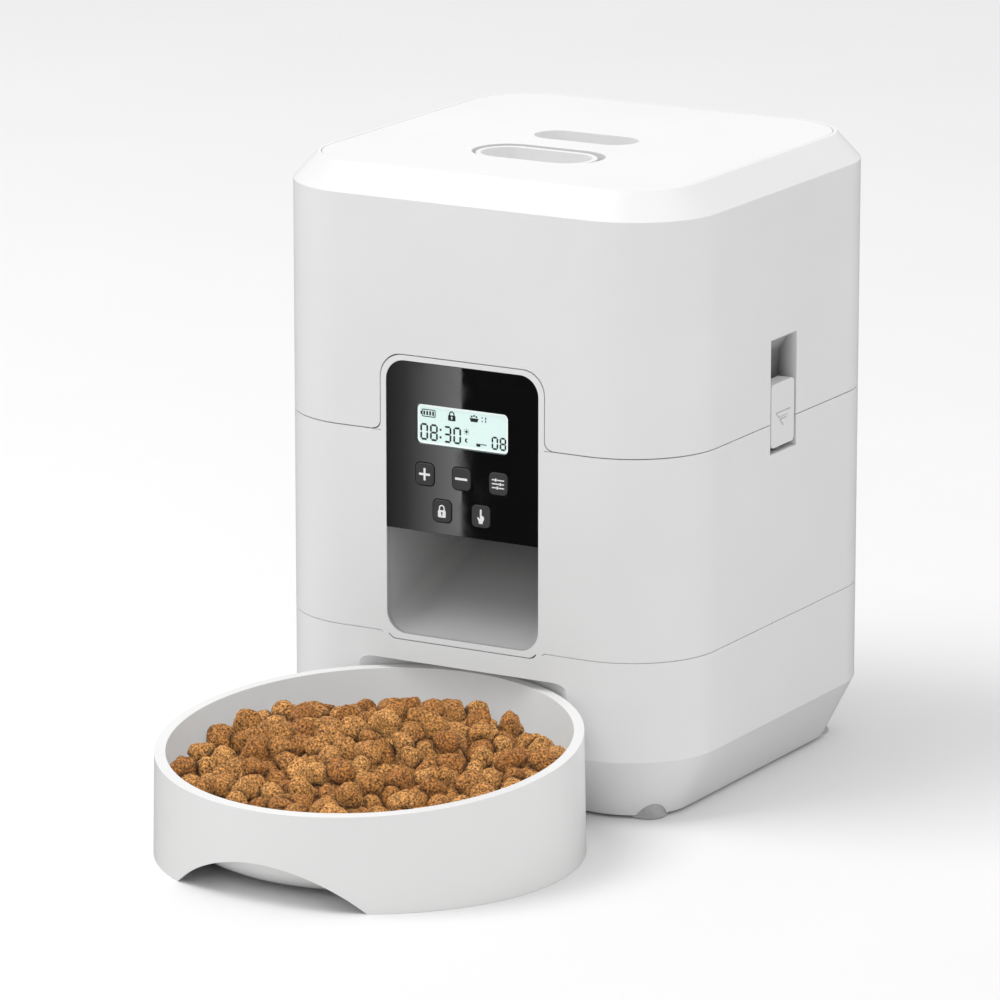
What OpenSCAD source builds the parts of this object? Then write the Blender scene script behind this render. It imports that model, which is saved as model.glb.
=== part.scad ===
// Automatic pet feeder: a square tower with a lift-off hopper tank, a motor-driven food rotor,
// a sloped outlet chute and a round bowl that slides under the outlet.
// Millimetres, +Z up, -Y to the front. The origin is on the floor, midway between the bowl's
// front edge and the back of the tower.

/* [Tower] */
// Width of the housings from side to side
tower_w = 190; // [186:1:196]
// Depth of the housings from front to back
tower_d = 191.4; // [188:0.1:196]
// Height of the lid's top face above the floor
tower_h = 257.8; // [252:0.1:264]
// Radius of the four upright corners
corner_r = 38; // [34:1:42]
// Thickness of the housing walls
wall = 2.5; // [2:0.1:2.8]

/* [Seams and chamfers] */
// Height of the seam between the base and the middle housing
base_seam = 68.3; // [67:0.1:70]
// Height of the seam between the middle housing and the tank
tank_seam = 151.8; // [150:0.1:153]
// Gap between the floor and the base housing
foot_gap = 1.4; // [1:0.1:2]
// How far the bottom chamfer goes in
base_chamfer_in = 12.7; // [10:0.1:14]
// Height where the bottom chamfer ends
base_chamfer_top = 26.8; // [24:0.1:30]
// How far the top chamfer goes in
top_chamfer_in = 10; // [8:0.1:10.5]
// How far the top chamfer goes down
top_chamfer_drop = 10.9; // [9:0.1:11]

/* [Bowl] */
// Outer radius of the bowl's skirt at the floor
bowl_r = 85.7; // [82:0.1:87]
// Distance from the tower's middle to the bowl's middle
bowl_reach = 168.3; // [167:0.1:175]
// Height of the bowl's rim at its middle
rim_h = 45.7; // [42:0.1:48]
// Tilt of the bowl's rim, up towards the tower
rim_tilt = 5.36; // [0:0.01:6]

/* [Control panel] */
// Half the width of the panel and of the outlet below it
panel_hw = 35.2; // [34:0.1:36]
// Height of the panel's lower edge, which is also the outlet's upper edge
panel_z0 = 111.6; // [110:0.1:113]
// Height of the panel's upper edge
panel_z1 = 181.3; // [180:0.1:182]
// Height of the outlet's lower edge
outlet_z0 = 67.9; // [67:0.1:69]
// Travel of a push button
button_travel = 0.8; // [0.5:0.1:0.8]

/* [Drive] */
// Gear module
gear_module = 1; // [1:0.1:1]
// Teeth of the rotor's gear
gear_teeth = 36; // [36:12:36]
// Teeth of the motor's pinion
pinion_teeth = 12; // [12:1:12]
// Number of food pockets in the rotor
rotor_pockets = 6; // [5:1:8]

/* [Hidden] */
$fn = 64;
white_plastic = [0.93, 0.93, 0.92];
grey_plastic = [0.72, 0.73, 0.74];
dark_plastic = [0.2, 0.2, 0.21];
gloss_black = [0.03, 0.03, 0.03];
steel = [0.72, 0.73, 0.75];
rubber_grey = [0.62, 0.62, 0.62];
silicone = [0.8, 0.82, 0.82];
circuit_green = [0.06, 0.3, 0.16];

half_w = tower_w / 2;
half_d = tower_d / 2;
grip_h = 16.5;
bowl_lean = 1 / 52;
// Tower's middle, placed so that the origin is midway between the bowl's front and the back.
// The bowl's foremost point is at the top of its grip arch, because the skirt leans in.
tower_y = (bowl_reach + bowl_r - grip_h * bowl_lean - half_d) / 2;
top_chamfer_z = tower_h - top_chamfer_drop;
seam_gap = 0.4;
seam_depth = 0.6;
base_floor = 3.5;
floor_z = foot_gap + base_floor;
bay_clearance = 1.5;
bay_top = 56.7;

lid_inset = 11.4;
mouth_inset = 17;
lid_seat_z = tower_h - 8.3;
ledge = 3;
lid_gap = 0.25;
lid_skin = 2.5;

console_hw = 37.7;
console_top = 183.4;
console_r = 10;
console_fillet = 3.5;
console_back = 16.7;
fit_gap = 0.4;

rotor_y = 10;
tray_r = 62;
tray_floor = 118;
deck_z = 138;
deck_t = 2;
gear_z = 98.5;
gear_t = 6;
gearbox_z0 = 94;
gearbox_z1 = 108;
gear_r = gear_module * gear_teeth / 2;
pinion_r = gear_module * pinion_teeth / 2;
motor_y = rotor_y + gear_r + pinion_r;
shaft_r = 4;
running_gap = 0.05;

recess_hy = 11.3;
recess_z0 = 138.9;
recess_z1 = 186.5;
recess_depth = 9;
latch_hy = 9.9;
latch_z0 = 141.2;
latch_z1 = 167.6;
latch_t = 6.7;
latch_travel = 2;

ring_slot = [48.4, 22.2];
ring_y = -35.4;
ring_wall = 2.2;
ring_travel = 3.5;
rear_slot = [46, 19.4];
rear_slot_y = 6;
slot_depth = 14;

foot_x = 72;
foot_y = 71;
post_x = 76;
post_y = 42;

button_w = 8.4;
button_h = 9.1;
button_rows = [[-17, 135.6], [0, 135.6], [17, 135.6], [-9, 121.3], [9, 121.3]];
pcb_front = -half_d + 7.3;
pcb_t = 1.6;

// ---------- shared shapes ----------

module at_tower() translate([0, tower_y, 0]) children();

module at_bowl() translate([0, tower_y - bowl_reach, 0]) children();

// How far the tower's outside is in from its full size at height z
function edge_in(z) =
    z < base_chamfer_top ? base_chamfer_in * (base_chamfer_top - z) / (base_chamfer_top - foot_gap) :
    z > top_chamfer_z ? top_chamfer_in * (z - top_chamfer_z) / top_chamfer_drop : 0;

// The tower's outer form from z0 to z1, drawn in by inset
module tower_form(inset, z0, z1) {
    bends = [for (z = [base_chamfer_top, top_chamfer_z]) if (z > z0 && z < z1) z];
    levels = concat([z0], bends, [z1]);
    side = [for (z = levels) [corner_r - edge_in(z) - inset, z]];
    core_x = half_w - corner_r;
    core_y = half_d - corner_r;
    for (sx = [-1, 1], sy = [-1, 1])
        translate([sx * core_x, sy * core_y, 0])
            rotate_extrude()
                polygon(concat([[0, z0]], side, [[0, z1]]));
    rotate([90, 0, 0])
        linear_extrude(2 * core_y, center = true)
            polygon(both_sides(side, core_x));
    rotate([90, 0, 90])
        linear_extrude(2 * core_x, center = true)
            polygon(both_sides(side, core_y));
}

// A side line moved out by shift, joined to its mirror image
function both_sides(side, shift) = concat(
    [for (p = side) [p.x + shift, p.y]],
    [for (i = [len(side) - 1 : -1 : 0]) [-side[i].x - shift, side[i].y]]
);

// The tower's straight-sided plan, drawn in by inset, from z0 to z1
module plan_slab(inset, z0, z1) {
    r = max(corner_r - inset, 4);
    w = tower_w - 2 * inset;
    d = tower_d - 2 * inset;
    translate([0, 0, z0])
        linear_extrude(z1 - z0)
            rounded_rect(w, d, r);
}

module rounded_rect(w, d, r) {
    square([w - 2 * r, d], center = true);
    square([w, d - 2 * r], center = true);
    for (sx = [-1, 1], sy = [-1, 1])
        translate([sx * (w / 2 - r), sy * (d / 2 - r)])
            circle(r);
}

// Slot with round ends, size [length, width]
module stadium(size, grow = 0) {
    r = size.y / 2;
    straight = size.x - size.y;
    square([straight, 2 * (r + grow)], center = true);
    for (s = [-1, 1])
        translate([s * straight / 2, 0])
            circle(r + grow);
}

// Front view outline with half width hw, from z0 to z1, with corner radii r0 below and r1 above
module upright_rect(hw, z0, z1, r0, r1) {
    translate([-hw, z0 + r0])
        square([2 * hw, z1 - z0 - r0 - r1]);
    if (r0 > 0)
        translate([-hw + r0, z0])
            square([2 * (hw - r0), r0 + 1]);
    if (r1 > 0)
        translate([-hw + r1, z1 - r1 - 1])
            square([2 * (hw - r1), r1 + 1]);
    for (s = [-1, 1]) {
        if (r0 > 0)
            translate([s * (hw - r0), z0 + r0])
                circle(r0);
        if (r1 > 0)
            translate([s * (hw - r1), z1 - r1])
                circle(r1);
    }
}

// Draws its children and their mirror image on the left
module on_both_sides() {
    children();
    mirror([1, 0, 0])
        children();
}

// Extrudes an outline, drawn in X and Z, from y0 back to y1
module front_plate(y0, y1)
    translate([0, y1, 0])
        rotate([90, 0, 0])
            linear_extrude(y1 - y0)
                children();

// The console's arch, with its small fillets where it rises from the seam
module console_outline(grow, z0) {
    upright_rect(console_hw + grow, z0, console_top + grow, 0, console_r + grow);
    foot_z = tank_seam - seam_gap / 2;
    for (s = [-1, 1])
        difference() {
            translate([s * (console_hw + console_fillet / 2), foot_z + console_fillet / 2])
                square(console_fillet + 2 * grow, center = true);
            translate([s * (console_hw + console_fillet + grow), foot_z + console_fillet + grow])
                circle(console_fillet);
        }
}

// The lip of the middle housing that runs below the outlet, with a flare at each end
module outlet_lip(grow) {
    lip_hw = panel_hw + 2.3 + grow;
    lip_z = outlet_z0 - 2.3 - grow;
    flare = 3;
    r = 4;
    upright_rect(lip_hw - flare, lip_z, base_seam + 2, r, 0);
    for (s = [-1, 1])
        difference() {
            translate([s * (lip_hw - flare + 1.4), base_seam + 0.5])
                square([flare + 2.8, 3], center = true);
            translate([s * (lip_hw + 1.4), base_seam - 2.6])
                circle(2.6);
        }
}

function helix_ring(r, wire, z, turn, sides) = [
    for (k = [0 : sides - 1])
        let (a = 360 * k / sides, out = r + wire * cos(a))
        [out * cos(turn), out * sin(turn), z + wire * sin(a)]
];

// Coil spring standing on z = 0
module coil_spring(r, wire, length, turns) {
    sides = 6;
    per_turn = 14;
    rings = round(turns * per_turn);
    rise = length - 2 * wire;
    points = [
        for (i = [0 : rings])
            each helix_ring(r, wire, wire + rise * i / rings, 360 * i / per_turn, sides)
    ];
    walls = [
        for (i = [0 : rings - 1], k = [0 : sides - 1])
            let (a = i * sides + k, b = i * sides + (k + 1) % sides)
            each [[b + sides, b, a], [a + sides, b + sides, a]]
    ];
    first = [for (k = [0 : sides - 1]) k];
    last = [for (k = [sides - 1 : -1 : 0]) rings * sides + k];
    polyhedron(points, concat(walls, [first], [last]));
}

// Screw with its head on top, its shank going down from z = 0
module screw(head_r, head_h, shank_r, length) {
    difference() {
        cylinder(h = head_h, r = head_r, $fn = 32);
        for (a = [0, 90])
            rotate([0, 0, a])
                translate([-head_r * 0.6, -head_r * 0.12, head_h * 0.55])
                    cube([head_r * 1.2, head_r * 0.24, head_h]);
    }
    translate([0, 0, -length])
        cylinder(h = length, r = shank_r, $fn = 32);
}

// Spur gear with straight-flanked teeth, one tooth centred on +X
module spur_gear(teeth, bore_r) {
    pitch_r = gear_module * teeth / 2;
    root_r = pitch_r - 1.2 * gear_module;
    tip_r = pitch_r + 0.95 * gear_module;
    step = 360 / teeth;
    flanks = [[root_r, -0.34], [tip_r, -0.12], [tip_r, 0.12], [root_r, 0.34]];
    difference() {
        linear_extrude(gear_t)
            polygon([
                for (i = [0 : teeth - 1], f = flanks)
                    [f[0] * cos((i + f[1]) * step), f[0] * sin((i + f[1]) * step)]
            ]);
        translate([0, 0, -1])
            cylinder(h = gear_t + 2, r = bore_r);
    }
}

// ---------- base ----------

// Space that the bowl's back slides into, with a small radius where its wall meets its roof
module bowl_bay(grow, z0) {
    r = bowl_r + bay_clearance + grow;
    soft = 3.5;
    top = bay_top + grow;
    translate([0, -bowl_reach, 0])
        rotate_extrude()
            polygon(concat(
                [[0, z0], [r, z0]],
                [for (a = [0 : 15 : 90]) [r - soft + soft * cos(a), top - soft + soft * sin(a)]],
                [[0, top]]
            ));
}

module battery_door_void() {
    translate([-54.3, -0.3, foot_gap - 1])
        cube([108.6, 85.3, 3]);
    translate([-56.3, -0.3, foot_gap + 0.5])
        cube([112.6, 85.3, 1.5]);
}

module base_housing() color(white_plastic) at_tower()
    difference() {
        union() {
            difference() {
                tower_form(0, foot_gap, base_seam);
                tower_form(wall, floor_z, base_seam + 1);
            }
            intersection() {
                tower_form(1, foot_gap + 0.5, base_seam - 3);
                bowl_bay(2, foot_gap);
            }
            for (sx = [-1, 1], sy = [-1, 1]) {
                translate([sx * post_x, sy * post_y, foot_gap + 0.5])
                    cylinder(h = base_seam - foot_gap - 0.5, r = 5.5);
                intersection() {
                    tower_form(1, foot_gap + 0.5, base_seam);
                    translate([sx * foot_x, sy * foot_y, foot_gap])
                        cylinder(h = 8.6, r = 10);
                }
            }
        }
        bowl_bay(0, -1);
        for (sx = [-1, 1], sy = [-1, 1]) {
            translate([sx * post_x, sy * post_y, -1])
                cylinder(h = 59, r = 3.6);
            translate([sx * post_x, sy * post_y, 0])
                cylinder(h = base_seam + 1, r = 1.8);
            translate([sx * foot_x, sy * foot_y, -1])
                cylinder(h = 8.2, r = 7.8);
        }
        battery_door_void();
        translate([-50, 5, 0])
            cube([100, 61, 10]);
        translate([60, half_d + 1, 34])
            rotate([90, 0, 0])
                cylinder(h = 10, r = 6);
        difference() {
            tower_form(-1, base_seam - seam_gap, base_seam + 1);
            tower_form(seam_depth, base_seam - 1, base_seam + 2);
        }
        front_plate(-half_d - 1, -half_d + wall + 0.3)
            outlet_lip(seam_gap);
    }

module rubber_feet() color(rubber_grey) at_tower()
    for (sx = [-1, 1], sy = [-1, 1])
        translate([sx * foot_x, sy * foot_y, 0])
            rotate_extrude()
                polygon([[0, 0], [7.4, 0], [8.1, 0.5], [8.1, 1.1], [7.6, 1.35], [7.6, 7.2], [0, 7.2]]);

module battery_tray() color(dark_plastic) at_tower()
    difference() {
        translate([-53, 2, floor_z])
            cube([106, 67, 38]);
        translate([-51, 4, floor_z - 1])
            cube([102, 63, 37]);
    }

module battery_contacts() color(steel) at_tower()
    for (cell = [-1, 0, 1]) {
        translate([cell * 34 - 8, 66.4, 14])
            cube([16, 0.5, 18]);
        translate([cell * 34 - 8, 4.1, 14])
            cube([16, 0.5, 18]);
    }

module battery_springs() color(steel) at_tower()
    for (cell = [-1, 0, 1])
        translate([cell * 34, 4.8, 23])
            rotate([-90, 0, 0])
                coil_spring(5, 0.5, 7, 3);

module battery_door() color(white_plastic) at_tower()
    difference() {
        union() {
            translate([-54, 0, foot_gap + 0.2])
                cube([108, 83, 1.6]);
            translate([-56, 0, foot_gap + 0.8])
                cube([112, 83, 0.9]);
        }
        for (i = [0 : 4])
            translate([-12, 66 + 3 * i, 0])
                cube([24, 1.2, foot_gap + 0.8]);
    }

module power_inlet() color(dark_plastic) at_tower()
    translate([60, half_d - 0.8, 34])
        rotate([90, 0, 0]) {
            difference() {
                union() {
                    cylinder(h = 2, r = 5.9);
                    translate([-4.5, -4.5, 1.7])
                        cube([9, 9, 12]);
                }
                translate([0, 0, -1])
                    cylinder(h = 10.5, r = 2.8);
            }
            translate([0, 0, 1.5])
                cylinder(h = 9, r = 1, $fn = 24);
        }

module housing_screws() color(steel) at_tower()
    for (sx = [-1, 1], sy = [-1, 1])
        translate([sx * post_x, sy * post_y, 58])
            mirror([0, 0, 1])
                screw(3.2, 2.4, 1.5, 22);

// ---------- bowl ----------

dish_r = 58;
dish_bend = 24.5;
dish_bend_z = 26.5;
dish_skin = 2.2;
bowl_top = rim_h + 16;
skirt_top = dish_bend_z + 1;

// Dish with its thick upper wall, before the rim is cut to its slant
module dish_form() {
    bend_in = dish_bend - dish_skin;
    rotate_extrude($fn = 128)
        polygon(concat(
            [[0, 2], [dish_r, 2]],
            [for (a = [-80 : 10 : -10]) [dish_r + dish_bend * cos(a), dish_bend_z + dish_bend * sin(a)]],
            [[dish_r + dish_bend, skirt_top], [bowl_r - skirt_top * bowl_lean, skirt_top]],
            [[bowl_r - bowl_top * bowl_lean, bowl_top], [bowl_r - 5, bowl_top]],
            [[dish_r + bend_in, dish_bend_z]],
            [for (a = [-10 : -10 : -80])
                [dish_r + bend_in * cos(a), dish_bend_z + bend_in * sin(a)]],
            [[dish_r, 2 + dish_skin], [0, 2 + dish_skin]]
        ));
}

// Outer wall that stands on the floor, with an arch at the front to lift the bowl by
module skirt_form() {
    arch_r = 64.3;
    difference() {
        rotate_extrude($fn = 128)
            polygon([
                [bowl_r - dish_skin, 0], [bowl_r, 0],
                [bowl_r - skirt_top * bowl_lean, skirt_top], [bowl_r - dish_skin - 0.6, skirt_top]
            ]);
        translate([0, -bowl_r - 2, grip_h - arch_r])
            rotate([-90, 0, 0])
                cylinder(h = 30, r = arch_r, $fn = 96);
    }
}

module food_bowl() color(white_plastic) at_bowl()
    difference() {
        union() {
            dish_form();
            skirt_form();
        }
        translate([0, 0, rim_h])
            rotate([rim_tilt, 0, 0])
                translate([-100, -100, 0])
                    cube([200, 200, 40]);
    }

// ---------- middle housing and outlet ----------

// Sunken finger recess for a side latch, scooped at its top
module latch_recess(grow)
    front_plate(-recess_hy - grow, recess_hy + grow)
        polygon([
            [half_w + 1, recess_z1 + grow], [half_w, recess_z1 + grow],
            [half_w - 5, recess_z1 - 3 + grow], [half_w - 8, recess_z1 - 8.5 + grow],
            [half_w - recess_depth - grow, recess_z1 - 17 + grow],
            [half_w - recess_depth - grow, recess_z0 - grow],
            [half_w + 1, recess_z0 - grow]
        ]);

// Plan of the gaps in the locating lip, at the console and at both side latches
module lip_gaps() {
    clear = fit_gap + 3;
    translate([0, -half_d])
        square([2 * (console_hw + clear), 24], center = true);
    square([tower_w, 2 * (recess_hy + clear)], center = true);
}

module mid_housing() color(white_plastic) at_tower() {
    rim = tank_seam - seam_gap;
    front = -half_d;
    back = front + console_back;
    difference() {
        union() {
            difference() {
                tower_form(0, base_seam, rim);
                tower_form(wall, base_seam - 1, rim + 1);
            }
            // locating lip inside the tank's lower edge, open where the tank's pockets come down
            difference() {
                plan_slab(wall + 0.3, rim - 6, rim + 4);
                plan_slab(wall + 1.9, rim - 7, rim + 5);
                translate([0, 0, rim])
                    linear_extrude(5)
                        lip_gaps();
            }
            difference() {
                plan_slab(wall - 0.5, rim - 6, rim - 2);
                plan_slab(wall + 1.9, rim - 7, rim + 1);
            }
            front_plate(front, front + wall)
                console_outline(0, panel_z0);
            // behind the front wall the console ends above the chute's roof
            front_plate(front + wall - 0.2, back)
                console_outline(0, panel_z0 + 2.3);
            front_plate(front, front + wall)
                outlet_lip(0);
            on_both_sides()
                intersection() {
                    latch_recess(2);
                    tower_form(0.5, recess_z0 - 3, rim);
                }
            for (sx = [-1, 1], sy = [-1, 1]) {
                translate([sx * post_x, sy * post_y, base_seam])
                    cylinder(h = deck_z - base_seam, r = 5);
                translate([sx * (post_x + 9), sy * post_y, (deck_z + base_seam) / 2])
                    cube([17, 2, deck_z - base_seam], center = true);
            }
        }
        // hollow of the console, from the board to its back wall
        front_plate(front + wall, back - 2)
            upright_rect(console_hw - 2, panel_z0 - 1, console_top - 2, 0, console_r - 2);
        // window for the panel and the outlet
        front_plate(front - 1, front + 2)
            upright_rect(panel_hw, outlet_z0, panel_z1, 9, 8.5);
        front_plate(front - 1, front + 4)
            upright_rect(panel_hw, outlet_z0, panel_z0, 9, 0);
        front_plate(front + 1, front + 4)
            upright_rect(panel_hw - 2.5, panel_z0 + 2.5, panel_z1 - 2.5, 0, 6);
        on_both_sides() {
            latch_recess(0);
            translate([half_w - recess_depth - 3, -3.5, recess_z0 + 3.1])
                cube([5, 7, 20]);
        }
        for (sx = [-1, 1], sy = [-1, 1])
            translate([sx * post_x, sy * post_y, base_seam - 1])
                cylinder(h = deck_z, r = 1.6);
    }
}

// Inside of the chute: wide and round-cornered at the outlet, narrow under the rotor
module chute_space(grow, front_y, top_z) {
    hull() {
        front_plate(front_y, front_y + 0.5)
            upright_rect(panel_hw + grow, outlet_z0 - grow, panel_z0 + grow, 9 + grow, 0);
        front_plate(-16.5 + grow, -16 + grow)
            upright_rect(24 + grow, 109.5 - grow, 114.8 + grow, 2, 0);
    }
    translate([-22 - grow, -48 - grow, 108])
        cube([44 + 2 * grow, 32 + 2 * grow, top_z - 108]);
}

module outlet_chute() color(white_plastic) at_tower()
    difference() {
        chute_space(1.5, -half_d + wall + 0.05, tray_floor - 0.1);
        chute_space(0, -half_d + wall - 0.5, tray_floor + 1);
    }

// ---------- control panel ----------

module at_buttons()
    for (b = button_rows)
        translate([b.x, 0, b.y])
            children();

module button_plate(w, h, r, y0, y1)
    front_plate(y0, y1)
        rounded_rect(w, h, r);

module display_outline(grow)
    translate([0, 156.05])
        rounded_rect(42.2 + 2 * grow, 16.3 + 2 * grow, 2 + grow);

module panel_lens() color(gloss_black) at_tower()
    difference() {
        front_plate(-half_d, -half_d + 1.9)
            upright_rect(panel_hw - 0.1, panel_z0 + 0.1, panel_z1 - 0.1, 0.4, 8.4);
        front_plate(-half_d - 1, -half_d + 3)
            display_outline(0.1);
        at_buttons()
            button_plate(button_w + 0.6, button_h + 0.6, 2.3, -half_d - 1, -half_d + 3);
    }

module display_window() color([0.8, 0.9, 0.86, 0.3]) at_tower()
    front_plate(-half_d, -half_d + 0.8)
        display_outline(0);

module lcd_module() color([0.78, 0.9, 0.84]) at_tower() {
    front_plate(-half_d + 0.9, -half_d + 2.1)
        display_outline(-0.2);
    front_plate(-half_d + 2.1, pcb_front)
        display_outline(2.5);
}

module control_pcb() color(circuit_green) at_tower()
    difference() {
        front_plate(pcb_front, pcb_front + pcb_t)
            upright_rect(31, 116, 177, 1, 1);
        for (p = pcb_holes)
            translate([p.x, pcb_front + 5, p.y])
                rotate([90, 0, 0])
                    cylinder(h = 10, r = 1.3, $fn = 32);
    }

pcb_holes = [[-28, 119], [28, 119], [-28, 174], [28, 174]];

module pcb_screws() color(steel) at_tower()
    for (p = pcb_holes)
        translate([p.x, pcb_front, p.y])
            rotate([90, 0, 0])
                screw(2.2, 1.5, 1.2, 6);

module button_switches() color(dark_plastic) at_tower()
    at_buttons() {
        front_plate(pcb_front - 1.4, pcb_front)
            square(6, center = true);
        front_plate(pcb_front - 1.9, pcb_front - 1.4)
            circle(1.6);
    }

// One push button: cap, flange behind the panel and a plunger for its switch
module push_button(place) color(dark_plastic) at_tower()
    translate([place.x, 0, place.y]) {
        button_plate(button_w, button_h, 2, -half_d - 0.5, -half_d + 2.2);
        button_plate(button_w + 2, button_h + 2, 2.6, -half_d + 2.1, -half_d + 2.9);
        front_plate(-half_d + 2.8, pcb_front - 1.9 - button_travel - 0.1)
            circle(1.5);
    }

module button_plus() push_button(button_rows[0]);

module button_minus() push_button(button_rows[1]);

module button_settings() push_button(button_rows[2]);

module button_lock() push_button(button_rows[3]);

module button_feed() push_button(button_rows[4]);

// ---------- dispenser and drive ----------

gearbox_ears = [[-27, rotor_y], [27, rotor_y], [0, motor_y + 21]];

module dispenser_deck() color(grey_plastic) at_tower()
    difference() {
        union() {
            intersection() {
                plan_slab(wall + 0.3, deck_z, deck_z + deck_t);
                translate([-100, -half_d + console_back + 0.3, 0])
                    cube([200, 200, 300]);
            }
            translate([0, rotor_y, tray_floor])
                cylinder(h = deck_z - tray_floor + 8, r = tray_r + 2);
            for (e = gearbox_ears)
                translate([e.x, e.y, gearbox_z1 + 2])
                    cylinder(h = tray_floor - gearbox_z1 - 2, r = 3.5);
        }
        translate([0, rotor_y, tray_floor + 2])
            cylinder(h = 50, r = tray_r);
        translate([0, rotor_y, tray_floor - 1])
            cylinder(h = 5, r = 6.5);
        translate([-22, -48, tray_floor - 1])
            cube([44, 32, 5]);
        for (e = gearbox_ears)
            translate([e.x, e.y, gearbox_z1])
                cylinder(h = 8, r = 1.4, $fn = 32);
        on_both_sides()
            translate([half_w - recess_depth - 2.3, -recess_hy - 2.3, deck_z - 1])
                cube([20, 2 * recess_hy + 4.6, 5]);
        for (sx = [-1, 1], sy = [-1, 1])
            translate([sx * post_x, sy * post_y, deck_z - 1])
                cylinder(h = 5, r = 1.8);
    }

module deck_screws() color(steel) at_tower()
    for (sx = [-1, 1], sy = [-1, 1])
        translate([sx * post_x, sy * post_y, deck_z + deck_t])
            screw(3, 2, 1.5, 14);

module food_rotor() color([0.55, 0.6, 0.62]) at_tower()
    translate([0, rotor_y, tray_floor + 3.4])
        difference() {
            union() {
                cylinder(h = 20.4, r1 = 13, r2 = 11);
                for (i = [0 : rotor_pockets - 1])
                    rotate([0, 0, 360 * (i + 0.5) / rotor_pockets])
                        translate([8, -1.2, 0])
                            cube([48, 2.4, 18.5]);
            }
            translate([0, 0, -1])
                cylinder(h = 14, r = shaft_r + 0.15, $fn = 6);
        }

module rotor_blades() color(silicone) at_tower()
    translate([0, rotor_y, tray_floor + 3.6])
        for (i = [0 : rotor_pockets - 1])
            rotate([0, 0, 360 * (i + 0.5) / rotor_pockets])
                translate([56, -0.8, 0])
                    cube([5, 1.6, 18]);

module drive_shaft() color(steel) at_tower()
    translate([0, rotor_y, 0]) {
        translate([0, 0, gearbox_z0 - 2.7])
            cylinder(h = tray_floor + 3.3 - gearbox_z0 + 2.7, r = shaft_r);
        translate([0, 0, tray_floor + 3.2])
            cylinder(h = 12.2, r = shaft_r, $fn = 6);
        translate([0, 0, gearbox_z1 + 3.5]) {
            cylinder(h = 4.5, r = 10);
            for (i = [0 : rotor_pockets - 1])
                rotate([0, 0, 360 * i / rotor_pockets])
                    translate([9.5, 0, 0])
                        cylinder(h = 4.5, r = 2.5, $fn = 32);
        }
    }

module output_gear() color([0.9, 0.88, 0.8]) at_tower()
    translate([0, rotor_y, gear_z]) {
        spur_gear(gear_teeth, shaft_r + running_gap);
        difference() {
            translate([0, 0, gear_t])
                cylinder(h = 2.5, r = 8);
            translate([0, 0, gear_t - 1])
                cylinder(h = 5, r = shaft_r + running_gap);
        }
    }

module gearbox_plan(grow) {
    translate([0, rotor_y])
        circle(21 + grow);
    translate([0, motor_y])
        circle(16 + grow);
}

module gearbox_housing() color(dark_plastic) at_tower()
    difference() {
        union() {
            translate([0, 0, gearbox_z0])
                linear_extrude(gearbox_z1 - gearbox_z0)
                    gearbox_plan(2);
            translate([0, rotor_y, gearbox_z0 - 4])
                cylinder(h = 5, r = 8);
        }
        translate([0, 0, gearbox_z0 + 2])
            linear_extrude(gearbox_z1 - gearbox_z0)
                gearbox_plan(0);
        translate([0, rotor_y, gearbox_z0 - 3])
            cylinder(h = 10, r = shaft_r + running_gap);
        translate([0, motor_y, gearbox_z0 - 1])
            cylinder(h = 10, r = 5.2);
        for (s = [-1, 1])
            translate([s * 10, motor_y, gearbox_z0 - 1])
                cylinder(h = 10, r = 1.4, $fn = 32);
    }

module gearbox_cover() color(dark_plastic) at_tower()
    translate([0, 0, gearbox_z1])
        linear_extrude(2)
            difference() {
                union() {
                    gearbox_plan(2);
                    for (e = gearbox_ears)
                        translate(e)
                            circle(4.5);
                }
                translate([0, rotor_y])
                    circle(5);
                for (e = gearbox_ears)
                    translate(e)
                        circle(1.6);
            }

module gearbox_screws() color(steel) at_tower()
    for (e = gearbox_ears)
        translate([e.x, e.y, gearbox_z1])
            mirror([0, 0, 1])
                screw(2.8, 1.8, 1.25, 7);

module shaft_bush() color([0.85, 0.82, 0.7]) at_tower()
    translate([0, rotor_y, tray_floor - 1])
        difference() {
            union() {
                cylinder(h = 3, r = 6.45);
                translate([0, 0, 3])
                    cylinder(h = 0.9, r = 8);
            }
            translate([0, 0, -1])
                cylinder(h = 6, r = shaft_r + running_gap);
        }

module motor_pinion() color(steel) at_tower()
    translate([0, motor_y, 0]) {
        translate([0, 0, gear_z - 0.2])
            rotate([0, 0, -90 + 180 / pinion_teeth])
                spur_gear(pinion_teeth, 1.4);
        translate([0, 0, gearbox_z0 - 12])
            cylinder(h = gear_z + gear_t - gearbox_z0 + 13, r = 1.5);
    }

module drive_motor() color([0.6, 0.61, 0.63]) at_tower()
    translate([0, motor_y, 0]) {
        difference() {
            union() {
                translate([0, 0, gearbox_z0 - 32])
                    cylinder(h = 32, r = 14);
                cylinder(h = gearbox_z0 + 2, r = 5);
            }
            translate([-10, -10, -1])
                cube([20, 20, gearbox_z0 - 31]);
            translate([0, 0, gearbox_z0 - 13])
                cylinder(h = 30, r = 1.5 + running_gap);
            for (s = [-1, 1])
                translate([s * 10, 0, gearbox_z0 - 6])
                    cylinder(h = 8, r = 1.25, $fn = 32);
        }
        for (s = [-1, 1])
            translate([s * 6 - 1.5, -0.3, gearbox_z0 - 37])
                cube([3, 0.6, 5.5]);
    }

module motor_screws() color(steel) at_tower()
    for (s = [-1, 1])
        translate([s * 10, motor_y, gearbox_z0 + 2])
            screw(2.2, 1.4, 1.2, 6.5);

module position_switch() color(dark_plastic) at_tower()
    translate([0, rotor_y, gearbox_z1 + 2]) {
        translate([-10, 15, 0])
            cube([20, 8, 6.4]);
        translate([-9, 13.6, 1.5])
            cube([16, 0.6, 4]);
        translate([-9, 13.6, 1.5])
            cube([2, 2, 4]);
    }

// ---------- hopper tank ----------

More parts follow.
